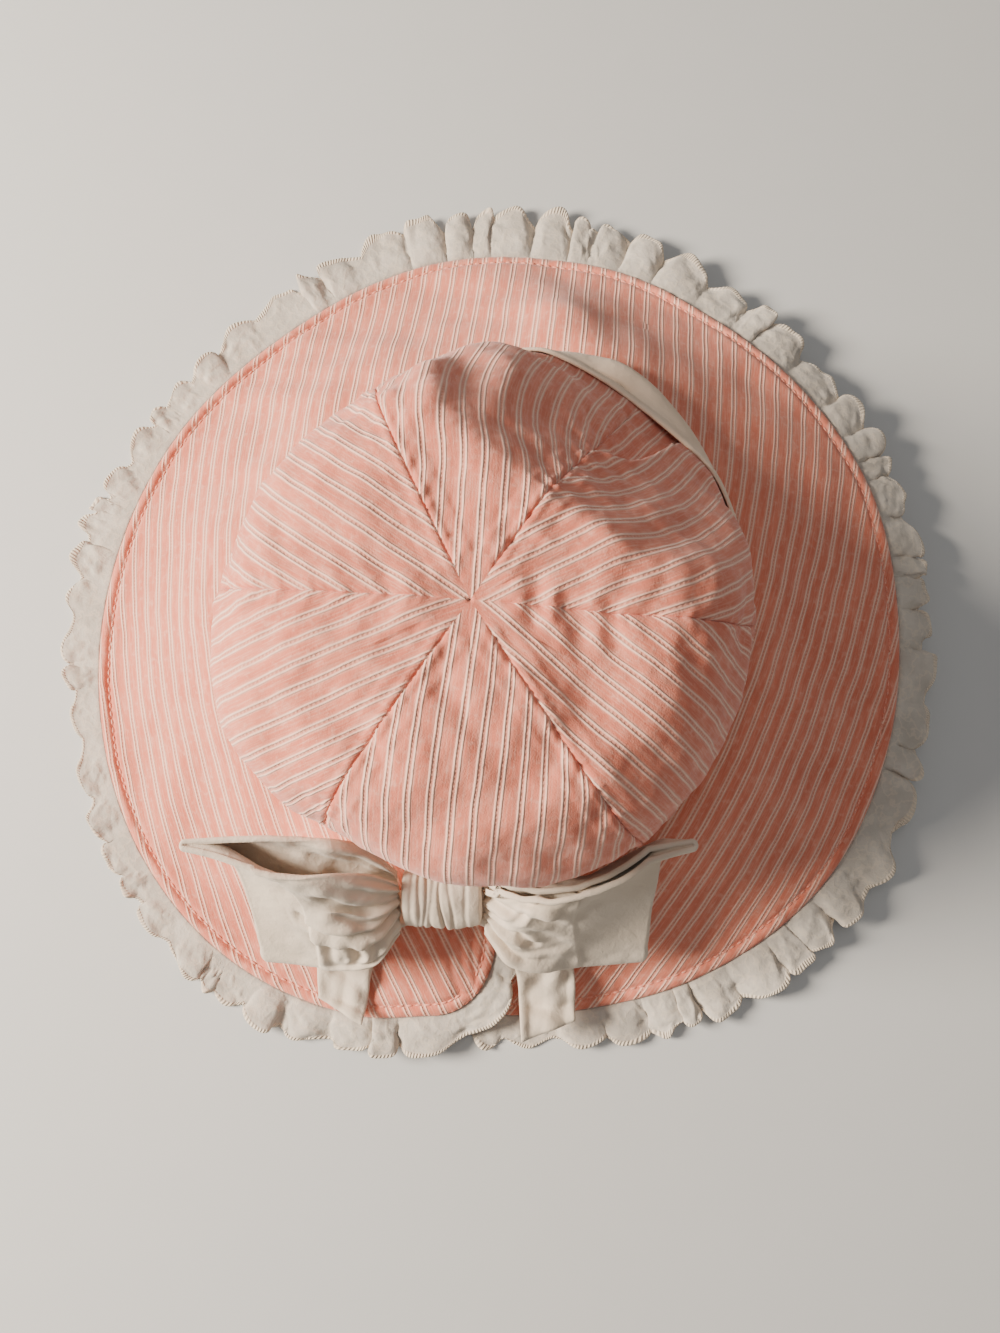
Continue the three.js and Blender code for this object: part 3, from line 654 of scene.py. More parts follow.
def striped_cotton(settings):
    """Salmon cotton with pairs of raised cream lines and a dotted channel between the two lines."""
    if "striped_cotton" in bpy.data.materials:
        return bpy.data.materials["striped_cotton"]
    n = Nodes("striped_cotton")
    u, v = n.parts(n.places())
    space = n.space()
    half_pitch = settings.stripe_pitch / 2
    half_pair = settings.stripe_pair / 2
    sway = n.math("MULTIPLY_ADD", n.noise(space, 90, 1.0), 0.6, -0.3)
    pair = n.math("ABSOLUTE", n.math("WRAP", n.math("ADD", u, sway), half_pitch, -half_pitch))
    off = n.math("ABSOLUTE", n.math("SUBTRACT", pair, half_pair))
    line = n.step(off, settings.stripe_width * 0.8, settings.stripe_width * 0.1)
    band = n.step(pair, half_pair + 0.95, half_pair + 0.1)
    channel = n.step(pair, settings.stripe_pair * 0.34, 0.05)
    dots = n.step(n.math("ABSOLUTE", n.math("WRAP", v, HOLE_PITCH / 2, -HOLE_PITCH / 2)), 0.44, 0.2)
    holes = n.math("MULTIPLY", channel, n.math("MULTIPLY_ADD", dots, 0.8, 0.2))
    weave = n.noise(space, 2600, 1.0, 0.6)
    slub = n.noise(space, 520, 2.0, 0.6)
    mottle = n.noise(space, 70, 3.0, 0.6)
    warp = n.noise(n.stretched(u, v, 1.9, 0.12), 1.0, 2.0, 0.6)
    streak = n.noise(n.stretched(u, v, 0.4, 0.02), 1.0, 2.0, 0.6)
    patchy = n.noise(space, 160, 2.0, 0.6)
    pink = coloured(settings.pink)
    cream = coloured(settings.cream)
    deep = coloured(pink, 0.84, 0.73, 0.7)
    base = n.blend(n.step(mottle, 0.25, 0.75), deep, pink)
    base = n.over(base, deep, n.step(streak, 0.42, 0.64), 0.75)
    base = n.over(base, cream, n.step(warp, 0.42, 0.75), 0.28)
    base = n.over(base, cream, n.step(slub, 0.5, 0.8), 0.25)
    base = n.over(base, cream, band, 0.27)
    base = n.over(base, cream, line, n.math("MULTIPLY_ADD", patchy, 0.85, 0.37))
    # Painted shade: the pin holes in the channel are darkened as if shade falls into them
    base = n.over(base, coloured(deep, 0.8, 0.8, 0.8), holes, 0.4)
    n.link(base, n.shader.inputs["Base Color"])
    height = n.math("MULTIPLY_ADD", line, 0.42, n.math("MULTIPLY", weave, 0.25))
    height = n.math("MULTIPLY_ADD", holes, -0.25, height)
    height = n.math("MULTIPLY_ADD", slub, 0.3, height)
    n.raise_by(height, 0.00045)
    n.matt(0.9, 0.25, 0.2)
    return n.material


def white_cotton(settings, name, tint):
    """Plain matt white cotton with a fine weave and small soft creases."""
    n = Nodes(name)
    space = n.space()
    weave = n.noise(space, 2400, 1.0, 0.6)
    creases = n.noise(space, 150, 3.0, 0.55)
    mottle = n.noise(space, 45, 2.0, 0.5)
    white = coloured(settings.white, *tint)
    grey = coloured(white, 0.9, 0.88, 0.85)
    base = n.blend(n.step(mottle, 0.3, 0.7), grey, white)
    base = n.over(base, grey, n.step(weave, 0.35, 0.65), 0.12)
    n.link(base, n.shader.inputs["Base Color"])
    ridge = n.math("ABSOLUTE", n.math("SUBTRACT", creases, 0.5))
    n.raise_by(n.math("MULTIPLY_ADD", ridge, -1.5, n.math("MULTIPLY", weave, 0.12)), 0.0005)
    n.matt(0.88, 0.2, 0.25)
    return n.material


def ruffle_cotton(settings):
    """Thin white cotton, a darker copy of the white as painted shade: mottled between two shaded greys,
    greyer still in painted shade by the seam, with painted highlights along its crinkle ridges and its edge
    oversewn in white thread.
    """
    n = Nodes("ruffle_cotton")
    u, v = n.parts(n.places())
    space = n.space()
    weave = n.noise(space, 2400, 1.0, 0.6)
    creases = n.noise(space, 170, 3.0, 0.55)
    mottle = n.noise(space, 60, 3.0, 0.6)
    white = coloured(settings.white)
    # Painted shade: the ruffle's cloth is the white darkened as a shaded copy, and grey is a deeper painted
    # shade
    thin = coloured(white, 0.76, 0.82, 0.92)
    grey = coloured(white, 0.58, 0.62, 0.69)
    base = n.blend(n.step(mottle, 0.3, 0.7), grey, thin)
    # Painted shade by the seam, where the ruffle lies under the brim's edge
    base = n.blend(n.step(v, 2.6, 0.2), base, grey)
    loops = n.math("ABSOLUTE", n.math("WRAP", n.math("MULTIPLY_ADD", v, 0.35, u), 0.45, -0.45))
    sewn = n.step(v, RUFFLE_CUT - 1.7, RUFFLE_CUT - 1.1)
    base = n.over(base, white, sewn, n.math("MULTIPLY_ADD", loops, 1.2, 0.45))
    ridge = n.math("ABSOLUTE", n.math("SUBTRACT", creases, 0.5))
    # Painted highlights along the crinkle ridges
    base = n.over(base, white, n.step(ridge, 0.05, 0.0), 0.28)
    n.link(base, n.shader.inputs["Base Color"])
    height = n.math("MULTIPLY_ADD", ridge, -1.6, n.math("MULTIPLY", weave, 0.14))
    height = n.math("MULTIPLY_ADD", n.math("MULTIPLY", sewn, loops), 1.4, height)
    n.raise_by(height, 0.0005)
    n.matt(0.88, 0.2, 0.25)
    return n.material


def sewing_thread(settings):
    """Pale pink twisted thread."""
    n = Nodes("sewing_thread")
    space = n.space()
    twist = n.noise(space, 3000, 1.0)
    pink = coloured(settings.pink)
    cream = coloured(settings.cream)
    worn = tuple((a + b) / 2 for a, b in zip(pink, cream))
    n.link(n.blend(n.step(twist, 0.3, 0.7), pink, worn), n.shader.inputs["Base Color"])
    n.raise_by(twist, 0.0001)
    n.shader.inputs["Roughness"].default_value = 0.7
    return n.material


def pale_floor(settings):
    """A plain matt floor with a faint variation."""
    n = Nodes("pale_floor")
    fine = n.noise(n.space(), 60, 2.0)
    floor = coloured(settings.floor)
    n.link(n.blend(fine, floor, coloured(floor, 0.97, 0.97, 0.97)), n.shader.inputs["Base Color"])
    n.shader.inputs["Roughness"].default_value = 0.85
    return n.material


# Crown


def panel_rows(count, azimuth, top):
    """Shares up the wall that give rows an even spacing along the cloth."""
    fine = np.linspace(0, top, 1500)
    run = run_length(crown_point(np.full_like(fine, azimuth), fine), 0)
    return np.interp(np.linspace(0, run[-1], count + 1), run, fine)


# A pressed-open seam: depth of its groove, height of its ridges, and height and width of the folded edge
SEAM_GROOVE = 0.38
SEAM_RIDGE = 0.28
SEAM_FOLDED = 0.3
SEAM_ALLOWANCE = 7
# The twist of the gathered thread beside a seam: its height and pitch
ROPE_HEIGHT = 0.2
ROPE_PITCH = 2.3


def seam_relief(distance, along, seed, depth):
    """A pressed-open seam: a narrow groove, a low ridge on each side, and puckers across it."""
    groove = -SEAM_GROOVE * bump(distance, 0, 0.35)
    ridge = SEAM_RIDGE * bump(distance, 1.4, 0.9)
    allowance = SEAM_FOLDED * ramp(distance, SEAM_ALLOWANCE, SEAM_ALLOWANCE - 2)
    run = along + 0.5 * distance
    fine = waves(seed, (run, distance * 0.3), 3.6) + 0.6 * waves(seed + 50, (run, distance * 0.3), 2.0)
    lumps = waves(seed + 70, (run, distance * 0.45), 10.0)
    puckers = depth * (fine * np.exp(-distance / 3.2) + 1.5 * lumps * np.exp(-distance / 13))
    rope = ROPE_HEIGHT * np.sin(2 * math.pi * (along + 0.7 * distance) / ROPE_PITCH) * np.exp(-distance / 1.3)
    return groove + ridge + allowance + puckers + rope


# Folds of the crown in plan, from the middle of the head opening: line, width, depth
CROWN_CREASES = (
    (((8.5, -10.0), (8.5, -18.0), (7.0, -24.0)), 2.2, 1.1),
    (((15.0, -17.5), (20.0, -23.0), (19.0, -29.0)), 2.6, 0.9),
    (((-13.0, 34.0), (-11.0, 50.0), (-12.0, 62.0)), 5.0, 1.5),
    (((8.5, 38.0), (11.0, 56.0), (12.0, 70.0)), 5.0, 1.6),
    (((-33.0, 30.0), (-44.0, 42.0)), 4.5, 1.0),
    (((-30.0, -74.0), (-18.0, -72.0), (4.0, -64.0), (14.0, -54.0)), 5.5, 1.3),
    (((-46.0, -38.0), (-36.0, -48.0), (-30.0, -58.0)), 5.0, 1.1),
    (((-60.0, 4.0), (-48.0, -2.0), (-38.0, -1.0)), 4.5, 0.9),
    (((-52.0, -16.0), (-40.0, -20.0), (-30.0, -19.0)), 4.5, 0.8),
    (((26.0, -46.0), (36.0, -54.0), (44.0, -56.0)), 5.0, 0.9),
    (((34.0, -4.0), (44.0, 4.0), (52.0, 6.0)), 5.0, 0.8),
)

# The tuck at the pushed-in shoulder, from the point side down to the band
CROWN_TUCK = (
    (15.2, 24.5),
    (22.0, 29.0),
    (28.3, 30.6),
    (35.5, 30.4),
    (41.0, 34.5),
    (47.2, 40.4),
    (49.0, 42.0),
)
# How far the cloth behind the tuck sinks, how far its edge rolls up, and the depth of the slit between
TUCK_SUNK = 3.4
TUCK_ROLL = 1.2
TUCK_SLIT = 2.6

# Fuller stretches of the crown: degrees, width in degrees, how far they stand out
SIDE_BULGE = (8, 16, 2.0)
CORNER_BULGE = (76, 13, 4.2)

# The panels' grids
PANEL_COLUMNS = 112
PANEL_ROWS = 126

# How far each panel's stripes turn from its middle line, in degrees
PANEL_TURNS = (2, 1, 0, -3, -7, -11)


def crown_wrinkles(p, up):
    """Soft lumps of the slumped cloth."""
    places = (p[..., 0], p[..., 1], p[..., 2])
    broad = 0.5 * waves(7, places, 28)
    small = 0.3 * waves(8, places, 13)
    fine = 0.1 * waves(11, places, 5)
    return (broad + small + fine) * ramp(up, 0.0, 0.15)


def tucked(x, y):
    """The cloth behind the tuck lies lower, and its front edge rolls over."""
    gap, share, side = line_gap(x, y, CROWN_TUCK)
    strength = ramp(share, 0.02, 0.55)
    signed = gap * side
    sunk = -TUCK_SUNK * ramp(signed, -0.2, 1.1) * np.exp(-((np.maximum(signed, 0) / 12) ** 2))
    rolled = TUCK_ROLL * bump(signed, -1.4, 2.0)
    slit = -TUCK_SLIT * bump(signed, 0.5, 0.8) * ramp(share, 0.25, 0.5)
    return (sunk + rolled + slit) * strength * ramp(gap, 26, 14)


def panel_relief(k, az, up, middle, settings):
    """The seams, creases, lumps, tuck and fuller stretches of one panel."""
    across = run_length(middle, 0)
    along = run_length(middle, 1)
    from_right = across[-1:] - across
    close = np.minimum(across, from_right)
    seeds = (20 + k, 20 + (k + 1) % len(SEAMS))
    left = seam_relief(across, along[:1] + np.zeros_like(across), seeds[0], settings.pucker)
    right = seam_relief(from_right, along[-1:] + np.zeros_like(across), seeds[1], settings.pucker)
    x = middle[..., 0]
    y = middle[..., 1]
    relief = np.where(across < from_right, left, right) * (0.3 + 0.7 * ramp(up, 0.04, 0.16))
    relief = relief + settings.wrinkle * crown_wrinkles(middle, up) * ramp(close, -3, 5)
    relief = relief + settings.wrinkle * (creased(x, y, CROWN_CREASES) + tucked(x, y))
    relief = relief * ramp(up, 1.0, 0.975)
    at, wide, rise = SIDE_BULGE
    side = bump(wrapped(az - at), 0, wide) * np.sin(math.pi * np.clip(up / 0.75, 0, 1))
    relief = relief + rise * side * ramp(up, 0.02, 0.12)
    at, wide, rise = CORNER_BULGE
    corner = bump(wrapped(az - at), 0, wide) * ramp(up, 0.1, 0.24) * ramp(up, 0.75, 0.35)
    return relief + rise * corner


def panel_cut_places(middle, turn):
    """Where the cloth lay when the panel was cut: its x is across the stripes."""
    centre = middle.shape[0] // 2
    across = run_length(middle, 0)
    across = across - across[centre : centre + 1]
    past = run_length(middle, 1)[centre : centre + 1] - 60
    u = across * math.cos(turn) + past * math.sin(turn)
    v = past * math.cos(turn) - across * math.sin(turn) + 60
    return stacked(u, v)


def build_panel(k, settings, material):
    first, last = (SEAMS + (SEAMS[0] + 360,))[k : k + 2]
    up = panel_rows(PANEL_ROWS, (first + last) / 2, 1 - 2e-5)[None, :]
    share = spaced(PANEL_COLUMNS, 0.35)[:, None]
    az = mix(first, last, share) + np.zeros_like(up)
    up = up + np.zeros_like(share)
    middle = crown_point(az, up)
    out = crown_normal(az, up)
    surface = middle + out * panel_relief(k, az, up, middle, settings)[..., None]
    wall = CROWN_WALL * ramp(up, 1.002, 0.98) + 0.15
    uv = panel_cut_places(middle, math.radians(PANEL_TURNS[k]))
    name = f"crown_panel_{k + 1}"
    piece = walled(name + "_cloth", surface, out, wall, uv, material)
    finished(piece, "pink_stripe_cotton", name)


def build_band(material):
    columns = 540
    rows = 14
    az = (SEAMS[0] + 360 * np.arange(columns) / columns)[:, None]
    share = spaced(rows, 0.3)[None, :]
    up = mix(up_at(CLEAR), up_at(BAND_HEIGHT), share) + np.zeros_like(az)
    az = az + np.zeros_like(share)
    middle = crown_point(az, up)
    out = crown_normal(az, up)
    offset = CROWN_WALL / 2 + CLEAR + BAND_WALL / 2
    height = share * BAND_HEIGHT
    rim = 0.22 * (bump(height, 1.4, 1.1) + bump(height, BAND_HEIGHT - 1.4, 1.1))
    places = (middle[..., 0], middle[..., 1], middle[..., 2] * 0.6)
    loose = 0.25 * (1 + waves(41, places, 16)) * np.sin(math.pi * share)
    surface = middle + out * (offset + rim + loose)[..., None]
    wall = rounded(np.minimum(height, BAND_HEIGHT - height) + np.zeros_like(az), BAND_WALL)
    uv = stacked(run_length(np.concatenate([middle, middle[:1]]), 0), height)
    piece = walled("hat_band_cloth", surface, out, wall, uv, material, ring=True)
    finished(piece, "white_cotton", "hat_band")


# Brim


# Folds of the brim in plan, from the middle of the head opening: line, width, depth
BRIM_CREASES = (
    (((-79.0, 22.0), (-84.0, -6.0), (-80.0, -34.0), (-70.0, -56.0)), 6.5, 1.1),
    (((-60.0, 62.0), (-46.0, 76.0), (-24.0, 86.0)), 7.0, 0.8),
    (((-104.0, 40.0), (-110.0, 10.0), (-110.0, -30.0)), 5.0, 0.5),
    (((86.0, 40.0), (97.0, 10.0), (100.0, -20.0)), 8.0, 0.6),
    (((40.0, -84.0), (62.0, -84.0), (84.0, -66.0)), 7.0, 0.8),
)

# The brim's flat cut: the share of a full turn that it fills, and where its grain points to the front
BRIM_EASE = 0.84
BRIM_GRAIN_AT = 125

# Rows of the brim's grid beside the hem, in millimetres from it
HEM_ROWS = (0, 0.12, 0.3, 0.55, 0.85, 1.2, 1.6, 2.0, 2.4, 2.8, 3.15, 3.5, 3.85, 4.3, 4.9, 5.6, 6.6)


def edge_line():
    """The brim's free edge in plan, with its running length."""
    az, t = brim_stations(60, 1400)
    x, y = plan_point(az, t)
    ends_t = np.linspace(-0.01, 1, 60)
    start_t = float(corner_station(0, FLAP_RIGHT_END, 1)[1])
    stop_t = float(corner_station(0, FLAP_LEFT_END, -1)[1])
    first = plan_point(np.full(60, float(FLAP_RIGHT_END)), ends_t * start_t)
    last = plan_point(np.full(60, float(FLAP_LEFT_END)), ends_t[::-1] * stop_t)
    x = np.concatenate([first[0][:-1], x, last[0][1:]])
    y = np.concatenate([first[1][:-1], y, last[1][1:]])
    line = np.stack([x, y], -1)
    return line, run_length(line, 0)


def near_edge(x, y, line, run):
    """Distance in plan from the free edge, and the running length of the nearest place on it."""
    flat = np.stack([x.ravel(), y.ravel()], -1)
    best = np.full(len(flat), 1e9)
    place = np.zeros(len(flat))
    order = np.arange(0, len(line), 2)
    batch = 4000
    for start in range(0, len(flat), batch):
        part = flat[start : start + batch]
        gap = np.hypot(part[:, 0, None] - line[None, order, 0], part[:, 1, None] - line[None, order, 1])
        k = gap.argmin(axis=1)
        best[start : start + batch] = gap[np.arange(len(part)), k]
        place[start : start + batch] = run[order[k]]
    return best.reshape(x.shape), place.reshape(x.shape)


def brim_relief(x, y, z, distance, place, from_crown, settings):
    """Turned hem with its topstitching, puckers beside it and beside the crown, and soft creases."""
    rim = 0.4 * bump(distance, 1.8, 1.1) - 0.55 * bump(distance, 3.6, 0.7) + 0.25 * bump(distance, 5.4, 1.3)
    hem = waves(61, (place, distance * 0.3), 7.0) + 0.5 * waves(62, (place, distance * 0.2), 3.4)
    crown = waves(63, (place, from_crown * 0.3), 8.0)
    puckers = settings.pucker * (0.8 * hem * np.exp(-distance / 6) + 0.9 * crown * np.exp(-from_crown / 5))
    places = (x, y, z)
    soft = 0.8 * waves(64, places, 34) + 0.3 * waves(65, places, 14)
    soft = soft + creased(x, y, BRIM_CREASES)
    return rim + puckers + settings.wrinkle * soft * ramp(distance, 0, 8)


def build_brim(settings, material):
    station_az, station_t = brim_stations(44, 700)
    inner_t = -CROWN_WALL / 2 / BRIM_REACH
    far = np.linspace(8, BRIM_REACH, 30)
    share = np.concatenate([HEM_ROWS, far])[None, :] / BRIM_REACH
    az = station_az[:, None] + np.zeros_like(share)
    free_t = station_t[:, None]
    t = mix(free_t, inner_t, share)
    x, y = plan_point(az, t)
    line, run = edge_line()
    distance, place = near_edge(x, y, line, run)
    in_corner = (free_t < 1) * 40
    distance = np.minimum(distance, (free_t - t) * brim_reach(az) + 0.02 + in_corner)
    from_crown = t * brim_reach(az) + 1
    z = lay(az, t) + split_shift(az, t)
    relief = brim_relief(x, y, z, distance, place, from_crown, settings)
    wall = rounded(distance, BRIM_WALL)
    under = np.maximum(z - wall / 2, (BRIM_WALL - wall) / 2)
    top = under + wall + relief * ramp(distance, -0.3, 0.8)
    uv = brim_cut_places(az, t)
    piece = closed_sheet("brim_cloth", stacked(x, y, top), stacked(x, y, under), uv, material)
    finished(piece, "pink_stripe_cotton", "brim")
    return piece, line, run


def brim_cut_places(az, t):
    """Where the cloth lay when the brim was cut as one flat ring: its x is across the stripes."""
    x, y = plan_point(az, t)
    radius = np.hypot(x, y) / BRIM_EASE
    turn = np.radians(BRIM_EASE * (az - BRIM_GRAIN_AT) + BRIM_GRAIN_AT - 90)
    return stacked(-radius * np.sin(turn), radius * np.cos(turn))


def stitch_places(line, run, length, settings):
    """Where each stitch lies on the hem: x, y and top, and its direction in plan."""
    count = int((run[-1] - 8) / (length * 1.28))
    centre = np.linspace(5, run[-1] - 5, count)
    tx, ty = heading(line, run, centre, 1.5)
    x = np.interp(centre, run, line[:, 0]) - ty * STITCH_INSET
    y = np.interp(centre, run, line[:, 1]) + tx * STITCH_INSET
    az, t = az_and_t(x, y)
    # The flaps overlap, so each half of the hem counts its degrees from its own end
    first_half = centre < run[-1] / 2
    az = np.where(first_half & (az > 90), az - 360, np.where(~first_half & (az < -60), az + 360, az))
    mid = lay(az, t) + split_shift(az, t)
    from_crown = t * brim_reach(az)
    relief = brim_relief(x, y, mid, np.full_like(x, STITCH_INSET), centre, from_crown + 1, settings)
    top = np.maximum(mid - BRIM_WALL / 2, 0) + BRIM_WALL + relief
    keep = np.nonzero(from_crown > 2)[0]
    return [values[keep] for values in (x, y, top, tx, ty)]


def stitch_shape(length):
    """One stitch, thin at both ends and sunk there: rings of points, and its quads."""
    sides = 8
    rings = np.array([-1, -0.86, -0.5, 0, 0.5, 0.86, 1.0])[:, None]
    girth = np.sqrt(np.maximum(1 - np.abs(rings) ** 3, 0.02))
    turn = 2 * math.pi * np.arange(sides) / sides
    across = girth * np.cos(turn) * 0.34
    up = girth * np.sin(turn) * 0.28 + 0.2 - 0.28 * np.abs(rings) ** 2
    shape = stacked(rings * length / 2, across, up).reshape(-1, 3)
    caps = np.array([[0, 1, 2, 3], [0, 3, 4, 5], [0, 5, 6, 7]])
    last = (len(rings) - 1) * sides
    quads = np.concatenate([tube_quads(len(rings) - 1, sides), caps, caps[:, ::-1] + last])
    return shape, quads


def build_stitches(line, run, settings, material):
    """The topstitching: short stitches that lie in the groove along the turned hem."""
    length = settings.stitch_length
    x, y, top, tx, ty = (values[:, None] for values in stitch_places(line, run, length, settings))
    shape, one = stitch_shape(length)
    along, across, up = shape.T
    points = stacked(x + tx * along - ty * across, y + ty * along + tx * across, top + up)
    quads = (one[None] + (np.arange(len(points)) * len(shape))[:, None, None]).reshape(-1, 4)
    points = points.reshape(-1, 3)
    piece = mesh_from("brim_topstitching", points, [(quads, quads)], points[:, :2], material)
    finished(piece, "pink_stripe_cotton")
    return piece


# Ruffle


def hem_line():
    """The hem in plan from the lower flap's corner round to the end of the upper flap."""
    az, t = brim_stations(10, 240)
    az = az[3:]
    t = t[3:]
    end_t = float(corner_station(0, FLAP_LEFT_END, -1)[1])
    extra = np.arange(end_t, 0.42, -0.04)
    az = np.concatenate([az, np.full(len(extra), float(FLAP_LEFT_END))])
    t = np.concatenate([t, extra])
    x, y = plan_point(az, t)
    line = np.stack([x, y], -1)
    return az, t, line, run_length(line, 0)


def pleat_share(pleat):
    wander = 0.42 * np.sin(2 * math.pi * pleat / 13.7)
    wander = wander + 0.22 * np.sin(2 * math.pi * pleat / 4.3 + 1) - 0.22 * math.sin(1)
    wander = wander + 0.09 * np.sin(2 * math.pi * pleat / 2.6)
    fade = np.minimum(1, np.minimum(pleat / 3, (PLEATS - pleat) / 3))
    return (pleat + wander * fade) / PLEATS


def ruffle_middle(pleat, v):
    """The gathered strip: its pleats stand up, lean to one side or the other, and fold over."""
    az, t, line, run = hem_line()
    share = pleat_share(pleat)
    want = share * run[-1]
    x = np.interp(want, run, line[:, 0])
    y = np.interp(want, run, line[:, 1])
    hem_az = np.interp(want, run, az)
    hem_t = np.interp(want, run, t)
    tx, ty = heading(line, run, want, 4)
    turn = 2 * math.pi * pleat
    flat = 2 * np.abs(np.sin(turn / 2 + math.pi / 4)) ** 0.7 - 1
    strong = 0.72 + 0.26 * np.sin(pleat * 1.9 + 1) + 0.2 * np.sin(pleat * 4.7)
    wave = flat * strong + 0.3 * np.sin(pleat * 2.4)
    calm = mix(0.55, 1, np.minimum(ramp(share, 0.02, 0.07), ramp(share, 0.985, 0.9)))
    calm = calm * mix(0.75, 1, ramp(np.abs(wrapped(hem_az - 185)), 15, 50))
    uneven = 0.98 + 0.1 * np.sin(turn) + 0.06 * np.sin(pleat * 1.7)
    width = RUFFLE_WIDTH * frill_share(hem_az) * uneven
    narrow = mix(0.55, 1, np.minimum(ramp(share, 0, 0.02), ramp(share, 1, 0.985)))
    crush = waves(81, (pleat * 12.9, v * 14), 8.0)
    reach = 0.1 + v * width * narrow * (1 + 0.05 * crush * v + 0.08 * strong * (flat - 0.2) * v)
    lean = 0.95 * np.sin(pleat * 0.83 + 0.6) + 0.55 * np.sin(pleat * 2.1)
    fold = (1.0 + 0.4 * np.sin(pleat * 1.31 + 2)) * strong
    gathered = 0.1 + 0.9 * v**0.75
    overlap = -1.5 * fold * np.cos(turn) - 0.35 * fold * np.sin(2 * turn)
    sideways = calm * gathered * (overlap + lean * strong * flat * 2.0)
    sideways = sideways + 0.6 * calm * v * waves(82, (pleat * 12.9, v * 14), 7.0)
    px = x + ty * reach + tx * sideways
    py = y - tx * reach + ty * sideways
    place_az, place_t = az_and_t(x + ty * reach, y - tx * reach)
    z = lay(place_az, place_t) + split_shift(hem_az, hem_t)
    z = z + RUFFLE_WAVE * 0.9 * wave * calm * (0.1 + 0.9 * v**0.75) + 0.4 * v * crush
    crinkle = np.exp(-np.abs(waves(84, (pleat * 12.9, v * 20), 11.0)) / 0.14)
    z = z + 0.55 * crinkle * np.sin(math.pi * np.clip(v, 0, 1) ** 0.8)
    z = z + 0.3 * v * waves(83, (pleat * 12.9, v * 14), 4.2) - 0.6 * np.exp(-v / 0.15)
    return stacked(px, py, np.maximum(z, RUFFLE_WALL / 2 - 0.2))


def build_ruffle(material):
    columns = PLEATS * 31
    v = np.concatenate([np.linspace(0, 0.93, 15), [0.955, 0.975, 0.99, 1.0]])[None, :]
    pleat = np.linspace(0, PLEATS, columns + 1)[:, None] + np.zeros_like(v)
    middle = ruffle_middle(pleat, v + np.zeros_like(pleat))
    edge = (1 - v) * RUFFLE_WIDTH * 0.7 + np.zeros_like(pleat)
    oversewn = 0.35 * ramp(edge, 2.0, 1.5)
    wall = rounded(edge, 0.65 + oversewn)
    uv = stacked(run_length(middle, 0)[:, 8:9], v * RUFFLE_CUT)
    piece = laid_cloth("ruffle_cloth", middle, wall, uv, material)
    finished(piece, "white_cotton", "brim_ruffle")
    return piece


# Bow


def support(x, y):
    """Top of what the bow lies on: the brim, its upper flap and the ruffle."""
    az, t = az_and_t(x, y)
    turned = np.mod(az, 360)
    near = np.minimum(ramp(turned, FLAP_LEFT_END - 34, FLAP_LEFT_END - 9), ramp(turned, 296, 281))
    ruffle = (RUFFLE_WAVE * 1.1 + RUFFLE_WALL / 2) * ramp(t, 0.9, 1.02)
    lift = FLAP_LIFT * np.clip(t, 0, 1.2) * near
    return np.maximum(lay(az, t), RUFFLE_WALL / 2) + lift + np.maximum(BRIM_WALL / 2, ruffle)


def clear_of(p, distance):
    """Moves points clear of the crown, its band and the brim by a distance."""
    x, y, z = p[..., 0], p[..., 1], p[..., 2]
    seam = seam_height(np.degrees(np.arctan2(y, x)))
    up = up_at(z - seam)
    axis_x, axis_y = crown_axis(up)
    from_x = x - axis_x
    from_y = y - axis_y
    wall = crown_point(np.degrees(np.arctan2(from_y, from_x)), up)
    band = np.where(z - seam < BAND_HEIGHT + 3, CLEAR + BAND_WALL, 0)
    least = np.hypot(wall[..., 0] - axis_x, wall[..., 1] - axis_y) + CROWN_WALL / 2 + band + distance
    length = np.hypot(from_x, from_y)
    scale = np.maximum(least / length, 1)
    new_x = axis_x + from_x * scale
    new_y = axis_y + from_y * scale
    return stacked(new_x, new_y, np.maximum(z, support(new_x, new_y) + distance))


def knot_centre():
    lean = math.radians(KNOT_LEAN)
    tall = KNOT_TALL / 2 + KNOT_CREASE
    thick = KNOT_THICK / 2 + KNOT_CREASE
    deep = math.hypot(tall * math.sin(lean), thick * math.cos(lean))
    rise = math.hypot(tall * math.cos(lean), thick * math.sin(lean))
    r = float(base_radius(BOW_AT)) + deep
    x = r * math.cos(math.radians(BOW_AT))
    y = r * math.sin(math.radians(BOW_AT))
    z = float(support(x, y)) + TAIL_WALL + 2 * LAID_CLEAR + rise
    placed = clear_of(np.array([x, y, z + rise * 0.7]), deep + KNOT_PAD)
    return np.array([placed[0], placed[1], z])


KNOT = knot_centre()
LAYER_HEIGHT = 2 * LAID_CLEAR + TAIL_WALL + RIBBON_WALL / 2
# The share of a loop's length where its curves start, beside the knot, and the rest of it
LOOP_START = 0.18
LOOP_SPAN = 0.82


def from_knot(across, out, up):
    return stacked(KNOT[0] + across, KNOT[1] - out, KNOT[2] + up)


def through_three(a, b, c, w):
    """A curve through a at w = 0, b halfway and c at w = 1."""
    return a * (1 - w) * (1 - 2 * w) + b * 4 * w * (1 - w) + c * w * (2 * w - 1)


def loop_front(side, turn, along, w):
    """The front layer of a loop: along from the knot to the far fold, w from its top to its low edge."""
    top_out, top_up, mid_out, mid_up, low_out, low_up = (
        curve(along) * RIBBON_WIDTH for curve in LOOP_CURVES
    )
    out = through_three(top_out, mid_out, low_out, w)
    up = through_three(top_up, mid_up, low_up, w)
    low = 0.14 if side < 0 else 0.05
    flare = 1 - (0.09 * ramp(w, 0.02, 0.14) + low * w) * ramp(along, 0.3, 1)
    near = (along - LOOP_START) / LOOP_SPAN
    arch = np.sin(math.pi * np.clip(near / 0.55, 0, 1)) ** 2
    folds = np.sin(4 * math.pi * w + turn) * arch
    p = from_knot(side * along * LOOP_LENGTH * flare, out, up + RIBBON_GATHER * folds)
    return clear_of(p, LAYER_HEIGHT + RIBBON_WALL + LAYER_GAP)


